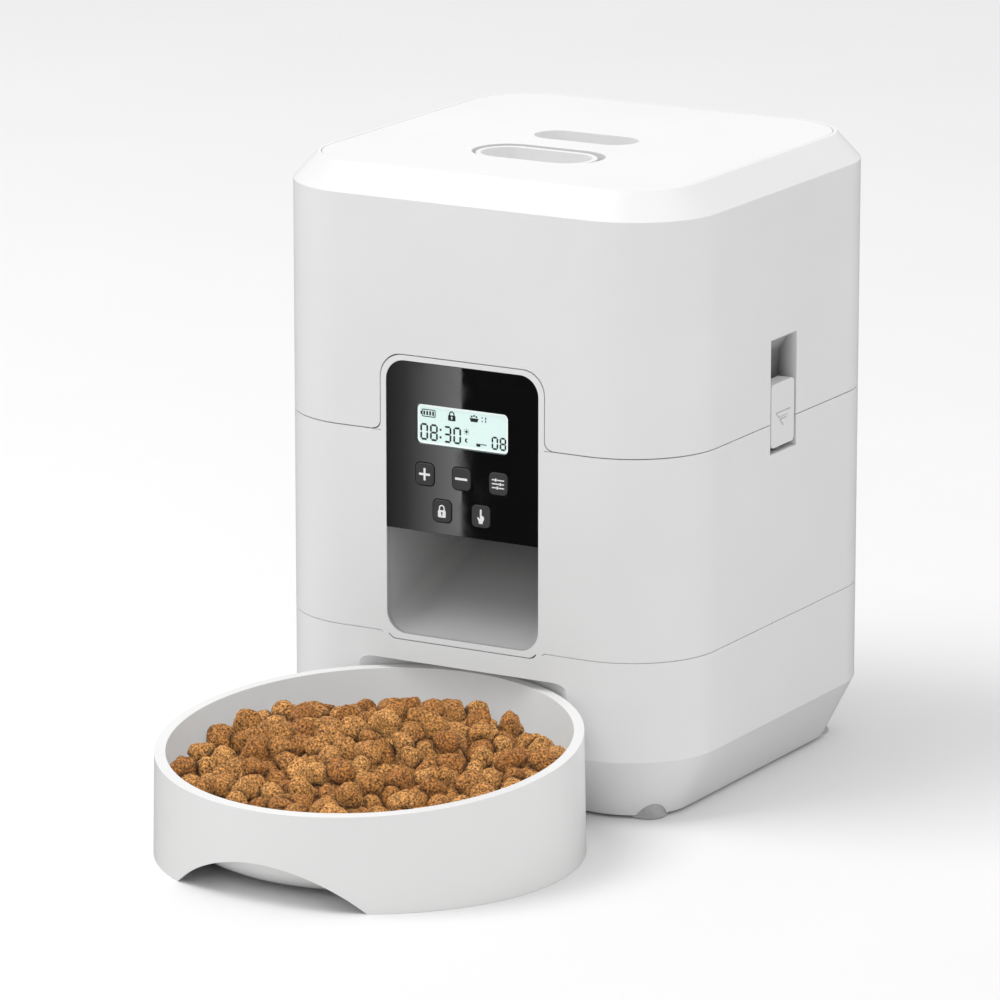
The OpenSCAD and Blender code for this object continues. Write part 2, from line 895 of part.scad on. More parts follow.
// Block that holds the console where it rises into the tank
module console_pocket(grow, z0)
    front_plate(-half_d, -half_d + console_back + grow)
        upright_rect(console_hw + grow, z0, console_top + grow, 0, console_r);

module hopper_tank() color(white_plastic) at_tower()
    difference() {
        union() {
            difference() {
                tower_form(0, tank_seam, tower_h);
                tower_form(wall, tank_seam - 1, top_chamfer_z - 0.4);
                plan_slab(lid_inset, lid_seat_z, tower_h + 1);
                plan_slab(mouth_inset, top_chamfer_z - 1, tower_h);
            }
            intersection() {
                console_pocket(fit_gap + 2, tank_seam);
                tower_form(1, tank_seam, tower_h - 20);
            }
            on_both_sides()
                intersection() {
                    latch_recess(2);
                    tower_form(0.5, tank_seam, tower_h - 20);
                }
        }
        console_pocket(fit_gap, tank_seam - 1);
        front_plate(-half_d - 1, -half_d + console_back + fit_gap)
            console_outline(seam_gap, tank_seam - 2);
        on_both_sides() {
            latch_recess(0);
            // window that the latch bolt springs into
            translate([half_w - recess_depth - 3, -4.4, tank_seam + 0.8])
                cube([5, 8.8, 5.4]);
        }
    }

module hopper_funnel() color(grey_plastic) at_tower() {
    neck_r = tray_r - 0.6;
    neck_z = tray_floor + 26;
    mouth_z = tank_seam + 0.6;
    rise = 50;
    spread = 66;
    skin = 1.9;
    difference() {
        union() {
            intersection() {
                translate([0, rotor_y, mouth_z])
                    cylinder(h = rise, r1 = neck_r, r2 = neck_r + spread);
                plan_slab(wall + 2.4, mouth_z, mouth_z + rise);
            }
            translate([0, rotor_y, neck_z])
                cylinder(h = mouth_z - neck_z + 0.5, r = neck_r);
        }
        translate([0, rotor_y, mouth_z])
            cylinder(h = rise + 0.1, r1 = neck_r - skin, r2 = neck_r - skin + spread);
        difference() {
            translate([0, rotor_y, neck_z - 1])
                cylinder(h = mouth_z - neck_z + 2, r = neck_r - skin);
            // plate over the outlet, so that food reaches it only by the rotor
            translate([-100, -100, neck_z])
                cube([200, 94, 2]);
        }
        console_pocket(fit_gap + 2.3, tank_seam - 1);
        on_both_sides()
            latch_recess(2.3);
    }
}

// ---------- lid ----------

hole_size = [ring_slot.x + 2 * ring_wall + 4.8, ring_slot.y + 2 * ring_wall + 3.8];
hole_y = ring_y + 1.7;

module lid() color(white_plastic) at_tower()
    difference() {
        union() {
            plan_slab(lid_inset + lid_gap, tower_h - lid_skin, tower_h);
            difference() {
                plan_slab(lid_inset + lid_gap, lid_seat_z + 1.8, tower_h - lid_skin);
                plan_slab(lid_inset + lid_gap + 2, lid_seat_z, tower_h - lid_skin);
            }
            translate([0, hole_y, tower_h - 10])
                linear_extrude(9)
                    stadium(hole_size, 1.6);
            translate([0, rear_slot_y, tower_h - slot_depth - 1.6])
                linear_extrude(slot_depth)
                    stadium(rear_slot, 1.6);
        }
        translate([0, hole_y, tower_h - 20])
            linear_extrude(30)
                stadium(hole_size);
        translate([0, rear_slot_y, tower_h - slot_depth])
            linear_extrude(20)
                stadium(rear_slot);
    }

module lid_seal() color(silicone) at_tower()
    difference() {
        plan_slab(lid_inset + 0.5, lid_seat_z + 0.3, lid_seat_z + 1.8);
        plan_slab(lid_inset + 4.5, lid_seat_z, lid_seat_z + 3);
    }

module lid_latch() color(white_plastic) at_tower() {
    cup_z = tower_h - 14.8;
    flange_z = tower_h - 13;
    tongue_end = half_d - mouth_inset + 2.3;
    difference() {
        union() {
            translate([0, ring_y, cup_z])
                linear_extrude(tower_h - 0.3 - cup_z)
                    stadium(ring_slot, ring_wall);
            translate([0, ring_y, cup_z])
                linear_extrude(2.4)
                    stadium(ring_slot, ring_wall + 2.6);
            translate([-9, -tongue_end, cup_z + 0.9])
                cube([18, tongue_end + ring_y, 2]);
        }
        translate([0, ring_y, cup_z + 1.8])
            linear_extrude(30)
                stadium(ring_slot);
    }
}

module latch_rails() color(grey_plastic) at_tower() {
    rail_in = ring_slot.x / 2 + ring_wall + 3;
    rail_top = tower_h - lid_skin;
    rail_low = tower_h - 17;
    on_both_sides()
        translate([0, ring_y - 8, 0]) {
            translate([rail_in + 2, 0, rail_low])
                cube([2, 16, rail_top - rail_low]);
            translate([rail_in - 2.5, 0, rail_low])
                cube([5, 16, 1.8]);
        }
}

module lid_latch_springs() color(steel) at_tower()
    for (s = [-1, 1])
        translate([s * 14, ring_y + ring_slot.y / 2 + ring_wall + 2.7, tower_h - 13.4])
            rotate([-90, 0, 0])
                coil_spring(1, 0.25, 8.6, 6);

module desiccant_box() color(grey_plastic) at_tower() {
    top = tower_h - lid_skin;
    difference() {
        translate([-26, 24, top - 14])
            cube([52, 36, 14]);
        translate([-24.4, 25.6, top - 15])
            cube([48.8, 32.8, 13.4]);
    }
}

module desiccant_cover() color(white_plastic) at_tower() {
    top = tower_h - lid_skin - 14;
    difference() {
        union() {
            translate([-26, 24, top - 1.5])
                cube([52, 36, 1.5]);
            translate([-24.2, 25.8, top])
                cube([48.4, 32.4, 1.2]);
        }
        for (i = [0 : 8])
            translate([-20 + 4.6 * i, 30, top - 2])
                cube([2, 24, 5]);
    }
}

// ---------- side latches ----------

// The latch's stem has a slanted end, which pushes the bolt in as the latch goes down
stem_z0 = 145.5;
stem_z1 = 149.5;
stem_end = half_w - 16;

module latch_button() color(white_plastic) at_tower() {
    outer = half_w - 0.2;
    difference() {
        union() {
            translate([outer, 0, (latch_z0 + latch_z1) / 2])
                rotate([0, -90, 0])
                    linear_extrude(latch_t)
                        rounded_rect(latch_z1 - latch_z0, 2 * latch_hy, 2.2);
            front_plate(-3, 3)
                polygon([
                    [stem_end + 4, stem_z0], [outer - latch_t + 0.5, stem_z0],
                    [outer - latch_t + 0.5, stem_z1], [stem_end, stem_z1]
                ]);
        }
        translate([outer - 3.2, 0, latch_z0 - 1])
            cylinder(h = 9, r = 1.7, $fn = 32);
    }
}

module latch_button_right() latch_button();

module latch_button_left()
    mirror([1, 0, 0])
        latch_button();

// Spring bolt: its nose holds the tank, and its ramp lies under the latch's slanted stem
module latch_bolt() color(grey_plastic) at_tower()
    front_plate(-3.9, 3.9)
        polygon([
            [stem_end - 6, 141], [stem_end + 3.4, 141], [stem_end + 3.4, stem_z0 + 0.2],
            [stem_end - 1, stem_z1 + 0.6], [stem_end - 1, tank_seam + 1.4],
            [stem_end + 7, tank_seam + 1.4], [stem_end + 7, tank_seam + 4.2],
            [stem_end + 5.6, tank_seam + 5.6], [stem_end - 6, tank_seam + 5.6]
        ]);

module latch_bolt_right() latch_bolt();

module latch_bolt_left()
    mirror([1, 0, 0])
        latch_bolt();

module latch_spring() color(steel) at_tower()
    translate([half_w - 3.4, 0, recess_z0])
        coil_spring(1.1, 0.25, 9, 6);

module latch_spring_right() latch_spring();

module latch_spring_left()
    mirror([1, 0, 0])
        latch_spring();

module bolt_spring() color(steel) at_tower()
    translate([tray_r + 3.2, 0, 143.2])
        rotate([0, 90, 0])
            coil_spring(1.6, 0.3, stem_end - 6.1 - tray_r - 3.2, 5);

module bolt_spring_right() bolt_spring();

module bolt_spring_left()
    mirror([1, 0, 0])
        bolt_spring();

base_housing();
rubber_feet();
battery_tray();
battery_contacts();
battery_springs();
battery_door();
power_inlet();
housing_screws();
food_bowl();
mid_housing();
outlet_chute();
panel_lens();
display_window();
lcd_module();
control_pcb();
pcb_screws();
button_switches();
button_plus();
button_minus();
button_settings();
button_lock();
button_feed();
dispenser_deck();
deck_screws();
food_rotor();
rotor_blades();
drive_shaft();
output_gear();
gearbox_housing();
gearbox_cover();
gearbox_screws();
shaft_bush();
motor_pinion();
drive_motor();
motor_screws();
position_switch();
hopper_tank();
hopper_funnel();
lid();
lid_seal();
lid_latch();
latch_rails();
lid_latch_springs();
desiccant_box();
desiccant_cover();
latch_button_right();
latch_button_left();
latch_bolt_right();
latch_bolt_left();
latch_spring_right();
latch_spring_left();
bolt_spring_right();
bolt_spring_left();
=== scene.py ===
"""Looks for the automatic pet feeder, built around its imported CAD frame.

Lengths are metres in the frame's own axes: +Z up, -Y to the front. mm() turns millimetres into metres.
The order is camera, materials, CAD nodes, stage and light, printed symbols, food and springs.
"""
import math

import bmesh
import bpy
import numpy as np
from mathutils import Matrix, Vector, noise


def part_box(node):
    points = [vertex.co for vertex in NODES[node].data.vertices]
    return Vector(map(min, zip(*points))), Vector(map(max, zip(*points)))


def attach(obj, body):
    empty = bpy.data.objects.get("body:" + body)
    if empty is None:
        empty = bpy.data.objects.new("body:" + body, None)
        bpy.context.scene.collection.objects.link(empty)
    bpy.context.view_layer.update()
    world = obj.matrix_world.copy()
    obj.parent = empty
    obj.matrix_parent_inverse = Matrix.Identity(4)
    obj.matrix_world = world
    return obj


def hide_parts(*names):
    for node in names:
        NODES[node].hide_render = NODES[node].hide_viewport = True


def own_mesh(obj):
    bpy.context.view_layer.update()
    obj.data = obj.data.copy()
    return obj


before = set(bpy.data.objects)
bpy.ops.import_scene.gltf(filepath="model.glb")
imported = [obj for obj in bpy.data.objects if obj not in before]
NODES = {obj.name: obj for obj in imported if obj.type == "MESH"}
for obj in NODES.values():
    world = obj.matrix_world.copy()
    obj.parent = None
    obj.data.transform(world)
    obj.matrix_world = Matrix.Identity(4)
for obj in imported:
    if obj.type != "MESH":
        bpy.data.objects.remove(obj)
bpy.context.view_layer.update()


def mm(value):
    return value / 1000.0


# ---------- places taken from the frame ----------

TANK_LOW, TANK_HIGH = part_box("hopper_tank")
TOWER_Y = (TANK_LOW.y + TANK_HIGH.y) / 2
TOWER_W = TANK_HIGH.x - TANK_LOW.x
FRONT_Y = TANK_LOW.y
BOWL_LOW, BOWL_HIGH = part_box("food_bowl")
BOWL_RADIUS = mm(85.7)
BOWL_X = (BOWL_LOW.x + BOWL_HIGH.x) / 2
BOWL_Y = BOWL_HIGH.y - BOWL_RADIUS


# ---------- camera ----------

CAMERA_AZIMUTH = 29.859
CAMERA_ELEVATION = 13.913
CAMERA_DISTANCE = 14.5607 * TOWER_W
CAMERA_LENS = 239.18
CAMERA_TARGET = Vector((-0.1963 * TOWER_W, TOWER_Y, 0.5357 * TOWER_W))


def add_camera():
    azimuth = math.radians(CAMERA_AZIMUTH)
    elevation = math.radians(CAMERA_ELEVATION)
    back = Vector((
        math.sin(azimuth) * math.cos(elevation),
        -math.cos(azimuth) * math.cos(elevation),
        math.sin(elevation),
    ))
    data = bpy.data.cameras.new("camera")
    data.lens = CAMERA_LENS
    data.sensor_width = 36
    data.clip_start = 0.1
    data.clip_end = 50
    camera = bpy.data.objects.new("camera", data)
    camera.location = CAMERA_TARGET + back * CAMERA_DISTANCE
    camera.rotation_mode = "QUATERNION"
    camera.rotation_quaternion = (-back).to_track_quat("-Z", "Y")
    bpy.context.scene.collection.objects.link(camera)
    bpy.context.scene.camera = camera


add_camera()


# ---------- node helpers ----------

def new_material(name, color, roughness=0.5, metallic=0.0, **sockets):
    """A Principled material with the same colour and finish all over, to which detail is added."""
    material = bpy.data.materials.new(name)
    material.use_nodes = True
    shader = material.node_tree.nodes["Principled BSDF"]
    shader.inputs["Base Color"].default_value = (*color, 1)
    shader.inputs["Roughness"].default_value = roughness
    shader.inputs["Metallic"].default_value = metallic
    for socket, value in sockets.items():
        shader.inputs[socket.replace("_", " ")].default_value = value
    return material


def node_of(material, kind, **values):
    """Adds a node. Each value goes to the input of its name, or else to the setting of its name."""
    node = material.node_tree.nodes.new(kind)
    for key, value in values.items():
        if key in node.inputs:
            node.inputs[key].default_value = value
        else:
            setattr(node, key, value)
    return node


def wire(material, out_socket, in_socket):
    material.node_tree.links.new(out_socket, in_socket)


def shader_of(material):
    return material.node_tree.nodes["Principled BSDF"]


def object_noise(material, scale, detail=4.0, roughness=0.5):
    """Noise in the object's own metres, scale in features per metre."""
    place = node_of(material, "ShaderNodeTexCoord")
    texture = node_of(material, "ShaderNodeTexNoise", Scale=scale, Detail=detail, Roughness=roughness)
    wire(material, place.outputs["Object"], texture.inputs["Vector"])
    return texture


def set_stops(color_ramp, stops):
    """Gives a colour ramp its stops, each (position, grey or colour)."""
    while len(color_ramp.elements) < len(stops):
        color_ramp.elements.new(0.5)
    for element, (position, value) in zip(color_ramp.elements, stops):
        element.position = position
        element.color = (*value, 1) if hasattr(value, "__len__") else (value, value, value, 1)


def ramp(material, source, stops):
    """Colour ramp that reads a node's output."""
    node = node_of(material, "ShaderNodeValToRGB")
    set_stops(node.color_ramp, stops)
    wire(material, source, node.inputs["Fac"])
    return node


def feed(material, socket, value):
    """Gives a socket a number, a colour or another node's output."""
    if isinstance(value, bpy.types.NodeSocket):
        wire(material, value, socket)
    else:
        socket.default_value = value


def math_of(material, operation, first, second=0.0):
    """Output of a Math node, whose values are numbers or other nodes' outputs."""
    node = node_of(material, "ShaderNodeMath", operation=operation)
    feed(material, node.inputs[0], first)
    feed(material, node.inputs[1], second)
    return node.outputs[0]


# Colour sockets of a Mix node
MIX_BASE = 6
MIX_LAYER = 7
MIX_RESULT = 2


def mix_color(material, mode, base, layer, factor=1.0):
    """Output of a Mix node that lays a colour or a texture over the base."""
    node = node_of(material, "ShaderNodeMix", data_type="RGBA", blend_type=mode)
    feed(material, node.inputs["Factor"], factor)
    feed(material, node.inputs[MIX_BASE], base)
    feed(material, node.inputs[MIX_LAYER], layer)
    return node.outputs[MIX_RESULT]


def add_bump(material, texture_out, strength, distance, chain=None):
    """Bump from a texture, on top of an earlier bump where chain names one."""
    bump = node_of(material, "ShaderNodeBump", Strength=strength, Distance=distance)
    wire(material, texture_out, bump.inputs["Height"])
    if chain is not None:
        wire(material, chain.outputs["Normal"], bump.inputs["Normal"])
    wire(material, bump.outputs["Normal"], shader_of(material).inputs["Normal"])
    return bump


def vary_color(material, texture_out, low, high, start=0.35, end=0.65):
    """Base colour that drifts between low and high with the texture."""
    shade = ramp(material, texture_out, [(start, low), (end, high)])
    wire(material, shade.outputs["Color"], shader_of(material).inputs["Base Color"])


def vary_roughness(material, texture_out, low, high, start=0.3, end=0.7):
    """Roughness that drifts between low and high with the texture."""
    shade = ramp(material, texture_out, [(start, low), (end, high)])
    wire(material, shade.outputs["Color"], shader_of(material).inputs["Roughness"])


# ---------- materials ----------

# Noise scales, in features per metre, of a moulded surface's tone and of its finish
TONE_SCALE = 14
FINISH_SCALE = 90
GRAIN_STRENGTH = 0.18
WHITE = (0.80, 0.80, 0.80)


def around(color, spread):
    """The colour darkened and lightened by a share of itself."""
    return [tuple(min(c * factor, 1) for c in color) for factor in (1 - spread, 1 + spread)]


def moulded_plastic(name, color, roughness, grain=2600, grain_depth=0.00001, spread=0.012, **sockets):
    """Moulded plastic: spark-eroded grain, slow tone drift, and a finish that isn't quite even."""
    material = new_material(name, color, roughness, **sockets)
    drift = object_noise(material, TONE_SCALE, 3)
    vary_color(material, drift.outputs["Fac"], *around(color, spread))
    sheen = object_noise(material, FINISH_SCALE, 5)
    vary_roughness(material, sheen.outputs["Fac"], roughness - 0.03, roughness + 0.04)
    fine = object_noise(material, grain, 2)
    add_bump(material, fine.outputs["Fac"], GRAIN_STRENGTH, grain_depth)
    return material


M_HOUSING = moulded_plastic("m_white_housing", WHITE, 0.38, Specular_IOR_Level=0.4)
M_LID = moulded_plastic("m_white_lid", WHITE, 0.42, Specular_IOR_Level=0.4)
M_BOWL = moulded_plastic("m_white_bowl", (0.80, 0.80, 0.795), 0.36, Specular_IOR_Level=0.4)
M_TRIM = moulded_plastic("m_white_trim", WHITE, 0.34)
M_CHUTE = moulded_plastic("m_chute", (0.43, 0.43, 0.43), 0.36)
M_GREY = moulded_plastic("m_grey_plastic", (0.5, 0.51, 0.52), 0.4)
M_DARK = moulded_plastic("m_dark_plastic", (0.035, 0.035, 0.038), 0.45)
M_BUTTON = moulded_plastic("m_button_plastic", (0.045, 0.045, 0.046), 0.55, grain=9000)
M_PANEL = moulded_plastic("m_panel_black", (0.0045, 0.0045, 0.0048), 0.032, grain=500,
                          grain_depth=0.0000001)
M_ROTOR = moulded_plastic("m_rotor_plastic", (0.26, 0.31, 0.34), 0.4)
M_ACETAL = moulded_plastic("m_acetal", (0.75, 0.72, 0.62), 0.35)
M_CIRCUIT = moulded_plastic("m_circuit_green", (0.01, 0.09, 0.035), 0.3)
M_PRINT = moulded_plastic("m_white_print", (0.86, 0.86, 0.86), 0.5, grain=6000)
M_SEGMENT = moulded_plastic("m_lcd_segment", (0.022, 0.027, 0.026), 0.5)

# The outlet's mouth, in millimetres: half its width, its ends, and its depth behind the front wall; its
# walls get a grey painted as shade
MOUTH_HALF = 35.7
MOUTH_LOW = 67.4
MOUTH_HIGH = 111.9
MOUTH_START = 0.5
MOUTH_END = 9
MOUTH_PAINTED_SHADE = (0.42, 0.42, 0.42, 1)

# The latch recesses, in millimetres: half their width, their ends, and the distances from the
# tower's middle at which the shade painted into them is full and gone
RECESS_HALF = 11.7
RECESS_LOW = 138.5
RECESS_HIGH = 187.0
RECESS_BACK = 86.5
RECESS_FRONT = 94.8
RECESS_DARKEST = 0.82
RECESS_PAINTED_SHADE = (0.03, 0.03, 0.03, 1)


def between(material, value, low, high):
    """1 where the value lies between low and high, else 0."""
    above = math_of(material, "GREATER_THAN", value, low)
    below = math_of(material, "LESS_THAN", value, high)
    return math_of(material, "MULTIPLY", above, below)


def recess_painted_shade(material, out, aside, z):
    """How much painted shade each point of a latch recess gets: most at the back, nothing at the front.
    """
    across = between(material, aside, -1.0, mm(RECESS_HALF))
    inside = math_of(material, "MULTIPLY", across, between(material, z, mm(RECESS_LOW), mm(RECESS_HIGH)))
    depth = node_of(material, "ShaderNodeMapRange")
    depth.inputs["From Min"].default_value = mm(RECESS_BACK)
    depth.inputs["From Max"].default_value = mm(RECESS_FRONT)
    depth.inputs["To Min"].default_value = RECESS_DARKEST
    depth.inputs["To Max"].default_value = 0.0
    wire(material, out, depth.inputs["Value"])
    return math_of(material, "MULTIPLY", inside, depth.outputs["Result"])


def mouth_painted_shade(material, out, y, z):
    """Where grey is painted as shade: 1 on the walls of the outlet's mouth, else 0."""
    across = between(material, out, -1.0, mm(MOUTH_HALF))
    inside = math_of(material, "MULTIPLY", across, between(material, z, mm(MOUTH_LOW), mm(MOUTH_HIGH)))
    behind = between(material, y, FRONT_Y + mm(MOUTH_START), FRONT_Y + mm(MOUTH_END))
    return math_of(material, "MULTIPLY", inside, behind)


def paint_shade_in_hollows(material):
    """Paints shade: darkens the latch recesses towards their backs and greys the walls of the outlet's
    mouth.
    """
    place = node_of(material, "ShaderNodeTexCoord")
    axes = node_of(material, "ShaderNodeSeparateXYZ")
    wire(material, place.outputs["Object"], axes.inputs["Vector"])
    x, y, z = (axes.outputs[name] for name in "XYZ")
    out = math_of(material, "ABSOLUTE", x)
    aside = math_of(material, "ABSOLUTE", math_of(material, "SUBTRACT", y, TOWER_Y))
    base_color = shader_of(material).inputs["Base Color"]
    base = base_color.links[0].from_socket
    base = mix_color(material, "MIX", base, RECESS_PAINTED_SHADE, recess_painted_shade(material, out, aside, z))
    base = mix_color(material, "MIX", base, MOUTH_PAINTED_SHADE, mouth_painted_shade(material, out, y, z))
    wire(material, base, base_color)


# The housing's colour carries painted shade in its latch recesses and in the mouth of its outlet.
paint_shade_in_hollows(M_HOUSING)


def soft_rubber(name, color, roughness):
    """Dull rubber with dusty tones and a fine grain."""
    material = new_material(name, color, roughness, Specular_IOR_Level=0.3)
    dust = object_noise(material, 260, 6, 0.65)
    vary_color(material, dust.outputs["Fac"], *around(color, 0.1))
    fine = object_noise(material, 3500, 2)
    add_bump(material, fine.outputs["Fac"], 0.3, 0.00002)
    return material


M_RUBBER = soft_rubber("m_rubber_grey", (0.42, 0.42, 0.42), 0.75)
M_SILICONE = soft_rubber("m_silicone", (0.62, 0.66, 0.66), 0.6)


def drawn_steel(name, color, roughness, stretch=(1, 1, 30)):
    """Steel with fine drawn lines along the stretch axis."""
    material = new_material(name, color, roughness, metallic=1.0)
    place = node_of(material, "ShaderNodeTexCoord")
    mapping = node_of(material, "ShaderNodeMapping")
    mapping.inputs["Scale"].default_value = stretch
    texture = node_of(material, "ShaderNodeTexNoise", Scale=220, Detail=4)
    wire(material, place.outputs["Object"], mapping.inputs["Vector"])
    wire(material, mapping.outputs["Vector"], texture.inputs["Vector"])
    vary_roughness(material, texture.outputs["Fac"], roughness - 0.08, roughness + 0.1)
    add_bump(material, texture.outputs["Fac"], 0.1, 0.00001)
    return material


M_STEEL = drawn_steel("m_steel", (0.62, 0.62, 0.64), 0.28)
M_MOTOR = drawn_steel("m_motor_steel", (0.5, 0.51, 0.53), 0.35)


def painted_glow_plastic(name, color, glow, strength):
    """Display face with a painted glow, a little emission that brightens it, and the fine mottle of its
    film.
    """
    material = new_material(name, color, 0.35)
    film = object_noise(material, 900, 3)
    vary_color(material, film.outputs["Fac"], *around(color, 0.03))
    shader = shader_of(material)
    shader.inputs["Emission Color"].default_value = (*glow, 1)
    shader.inputs["Emission Strength"].default_value = strength
    return material


# The display face and its white rim have a painted glow.
M_DISPLAY = painted_glow_plastic("m_display_mint", (0.55, 0.66, 0.64), (0.88, 0.99, 1.0), 0.43)
M_DISPLAY_RIM = painted_glow_plastic("m_display_rim", (0.80, 0.82, 0.82), (1.0, 1.0, 1.0), 0.48)


def clear_window():
    """Thin clear plastic over the display. It's glossier at a low angle, on its outer face only."""
    material = bpy.data.materials.new("m_display_clear")
    material.use_nodes = True
    material.node_tree.nodes.clear()
    through = node_of(material, "ShaderNodeBsdfTransparent", Color=(0.97, 0.99, 0.98, 1))
    gloss = node_of(material, "ShaderNodeBsdfGlossy", Roughness=0.05)
    fresnel = node_of(material, "ShaderNodeFresnel", IOR=1.3)
    spot = node_of(material, "ShaderNodeNewGeometry")
    outer = math_of(material, "SUBTRACT", 1.0, spot.outputs["Backfacing"])
    share = math_of(material, "MULTIPLY", fresnel.outputs["Fac"], outer)
    mix = node_of(material, "ShaderNodeMixShader")
    wire(material, share, mix.inputs["Fac"])
    wire(material, through.outputs["BSDF"], mix.inputs[1])
    wire(material, gloss.outputs["BSDF"], mix.inputs[2])
    out = node_of(material, "ShaderNodeOutputMaterial")
    wire(material, mix.outputs["Shader"], out.inputs["Surface"])
    return material


M_CLEAR = clear_window()


def kibble_crumb():
    """Baked crumb: each piece has its own tone, pale meal dust, dark toasted pits and a rough skin, with
    shade painted where pieces meet.
    """
    material = new_material("m_kibble", (0.3, 0.14, 0.05), 0.62, Specular_IOR_Level=0.35)
    tone = node_of(material, "ShaderNodeAttribute", attribute_name="tone")
    body = ramp(material, tone.outputs["Fac"], [
        (0.0, (0.36, 0.140, 0.030)),
        (0.5, (0.46, 0.200, 0.050)),
        (1.0, (0.58, 0.275, 0.078)),
    ])
    crumb = object_noise(material, 1100, 6, 0.7)
    speck = ramp(material, crumb.outputs["Fac"], [(0.38, 0.12), (0.5, 0.95), (0.64, 2.3)])
    nook = node_of(material, "ShaderNodeAttribute", attribute_name="nook")
    # Painted shade: darker where a piece meets its neighbours.
    shade = ramp(material, nook.outputs["Fac"], [(0.0, 0.10), (0.45, 0.62), (1.0, 1.06)])
    base = body.outputs["Color"]
    for layer in (speck, shade):
        base = mix_color(material, "MULTIPLY", base, layer.outputs["Color"])
    wire(material, base, shader_of(material).inputs["Base Color"])
    grain = object_noise(material, 1500, 6, 0.7)
    first = add_bump(material, crumb.outputs["Fac"], 0.8, 0.0009)
    add_bump(material, grain.outputs["Fac"], 0.5, 0.0003, chain=first)
    return material


M_KIBBLE = kibble_crumb()


# ---------- CAD nodes: materials and rounded edges ----------

FINISH = {
    "base_housing": M_HOUSING, "mid_housing": M_HOUSING, "hopper_tank": M_HOUSING, "lid": M_LID,
    "food_bowl": M_BOWL, "battery_door": M_TRIM, "outlet_chute": M_CHUTE, "lid_latch": M_TRIM,
    "latch_button_right": M_TRIM, "latch_button_left": M_TRIM, "desiccant_cover": M_TRIM,
    "dispenser_deck": M_GREY, "hopper_funnel": M_GREY, "latch_rails": M_GREY, "desiccant_box": M_GREY,
    "latch_bolt_right": M_GREY, "latch_bolt_left": M_GREY, "battery_tray": M_DARK,
    "power_inlet": M_DARK, "button_switches": M_DARK, "gearbox_housing": M_DARK,
    "gearbox_cover": M_DARK, "position_switch": M_DARK, "button_plus": M_BUTTON,
    "button_minus": M_BUTTON, "button_settings": M_BUTTON, "button_lock": M_BUTTON,
    "button_feed": M_BUTTON, "panel_lens": M_PANEL, "display_window": M_CLEAR,
    "lcd_module": M_DISPLAY, "control_pcb": M_CIRCUIT, "drive_motor": M_MOTOR,
    "rubber_feet": M_RUBBER, "rotor_blades": M_SILICONE, "lid_seal": M_SILICONE,
    "output_gear": M_ACETAL, "shaft_bush": M_ACETAL, "food_rotor": M_ROTOR,
}

# Edge radius of each moulded node, in millimetres
EDGE = {
    "base_housing": 0.5, "mid_housing": 0.35, "hopper_tank": 0.5, "lid": 0.35, "food_bowl": 1.2,
    "lid_latch": 0.5, "latch_button_right": 0.4, "latch_button_left": 0.4, "panel_lens": 0.15,
    "button_plus": 0.3, "button_minus": 0.3, "button_settings": 0.3, "button_lock": 0.3,
    "button_feed": 0.3, "battery_door": 0.3, "food_rotor": 0.4, "desiccant_cover": 0.3,
}
EDGE_SEGMENTS = 3

# How near two points are to be joined, in metres, and the angles of a flat and of a sharp edge
WELD_DISTANCE = 0.000002
FLAT_DEGREES = 0.4
SHARP_DEGREES = 20


def round_edges(node, radius, dissolve=True):
    """Joins the node's facets, dissolves its flat ones and rounds its sharp edges, all as modifiers."""
    mesh = node.data
    if "custom_normal" in mesh.attributes:
        mesh.attributes.remove(mesh.attributes["custom_normal"])
    for polygon in mesh.polygons:
        polygon.use_smooth = True
    weld = node.modifiers.new("weld", "WELD")
    weld.merge_threshold = WELD_DISTANCE
    if dissolve:
        flat = node.modifiers.new("flat", "DECIMATE")
        flat.decimate_type = "DISSOLVE"
        flat.angle_limit = math.radians(FLAT_DEGREES)
    bevel = node.modifiers.new("bevel", "BEVEL")
    bevel.width = mm(radius)
    bevel.segments = EDGE_SEGMENTS
    bevel.limit_method = "ANGLE"
    bevel.angle_limit = math.radians(SHARP_DEGREES)
    bevel.harden_normals = True
    bevel.use_clamp_overlap = True


def dress_nodes():
    """Gives every node its finish, and every moulded node its rounded edges. The rest is steel."""
    for name, node in NODES.items():
        finish = FINISH.get(name, M_STEEL)
        node.data.materials.clear()
        node.data.materials.append(finish)
        if name in EDGE:
            round_edges(node, EDGE[name], dissolve=name != "food_bowl")


dress_nodes()


# ---------- stage and light ----------

FLOOR_HALF = 9.0


def add_floor():
    """Wide white paper under the feeder, with a faint mottle."""
    mesh = bpy.data.meshes.new("floor")
    places = [(x * FLOOR_HALF, y * FLOOR_HALF, 0) for x, y in ((-1, -1), (1, -1), (1, 1), (-1, 1))]
    mesh.from_pydata(places, [], [(0, 1, 2, 3)])
    floor = bpy.data.objects.new("floor", mesh)
    bpy.context.scene.collection.objects.link(floor)
    paper = new_material("m_floor", (0.93, 0.93, 0.93), 1.0, Specular_IOR_Level=0.0)
    mottle = object_noise(paper, 6, 4)
    vary_color(paper, mottle.outputs["Fac"], (0.925, 0.925, 0.925), (0.935, 0.935, 0.935))
    mesh.materials.append(paper)
    floor.visible_glossy = False


def add_world(strength):
    """A white room whose light comes from above the horizon only."""
    world = bpy.data.worlds.new("studio")
    world.use_nodes = True
    tree = world.node_tree
    background = tree.nodes["Background"]
    background.inputs["Strength"].default_value = strength
    place = tree.nodes.new("ShaderNodeTexCoord")
    axes = tree.nodes.new("ShaderNodeSeparateXYZ")
    shade = tree.nodes.new("ShaderNodeValToRGB")
    set_stops(shade.color_ramp, [(0.0, 0.02), (0.02, 1.0)])
    tree.links.new(place.outputs["Generated"], axes.inputs["Vector"])
    tree.links.new(axes.outputs["Z"], shade.inputs["Fac"])
    tree.links.new(shade.outputs["Color"], background.inputs["Color"])
    bpy.context.scene.world = world


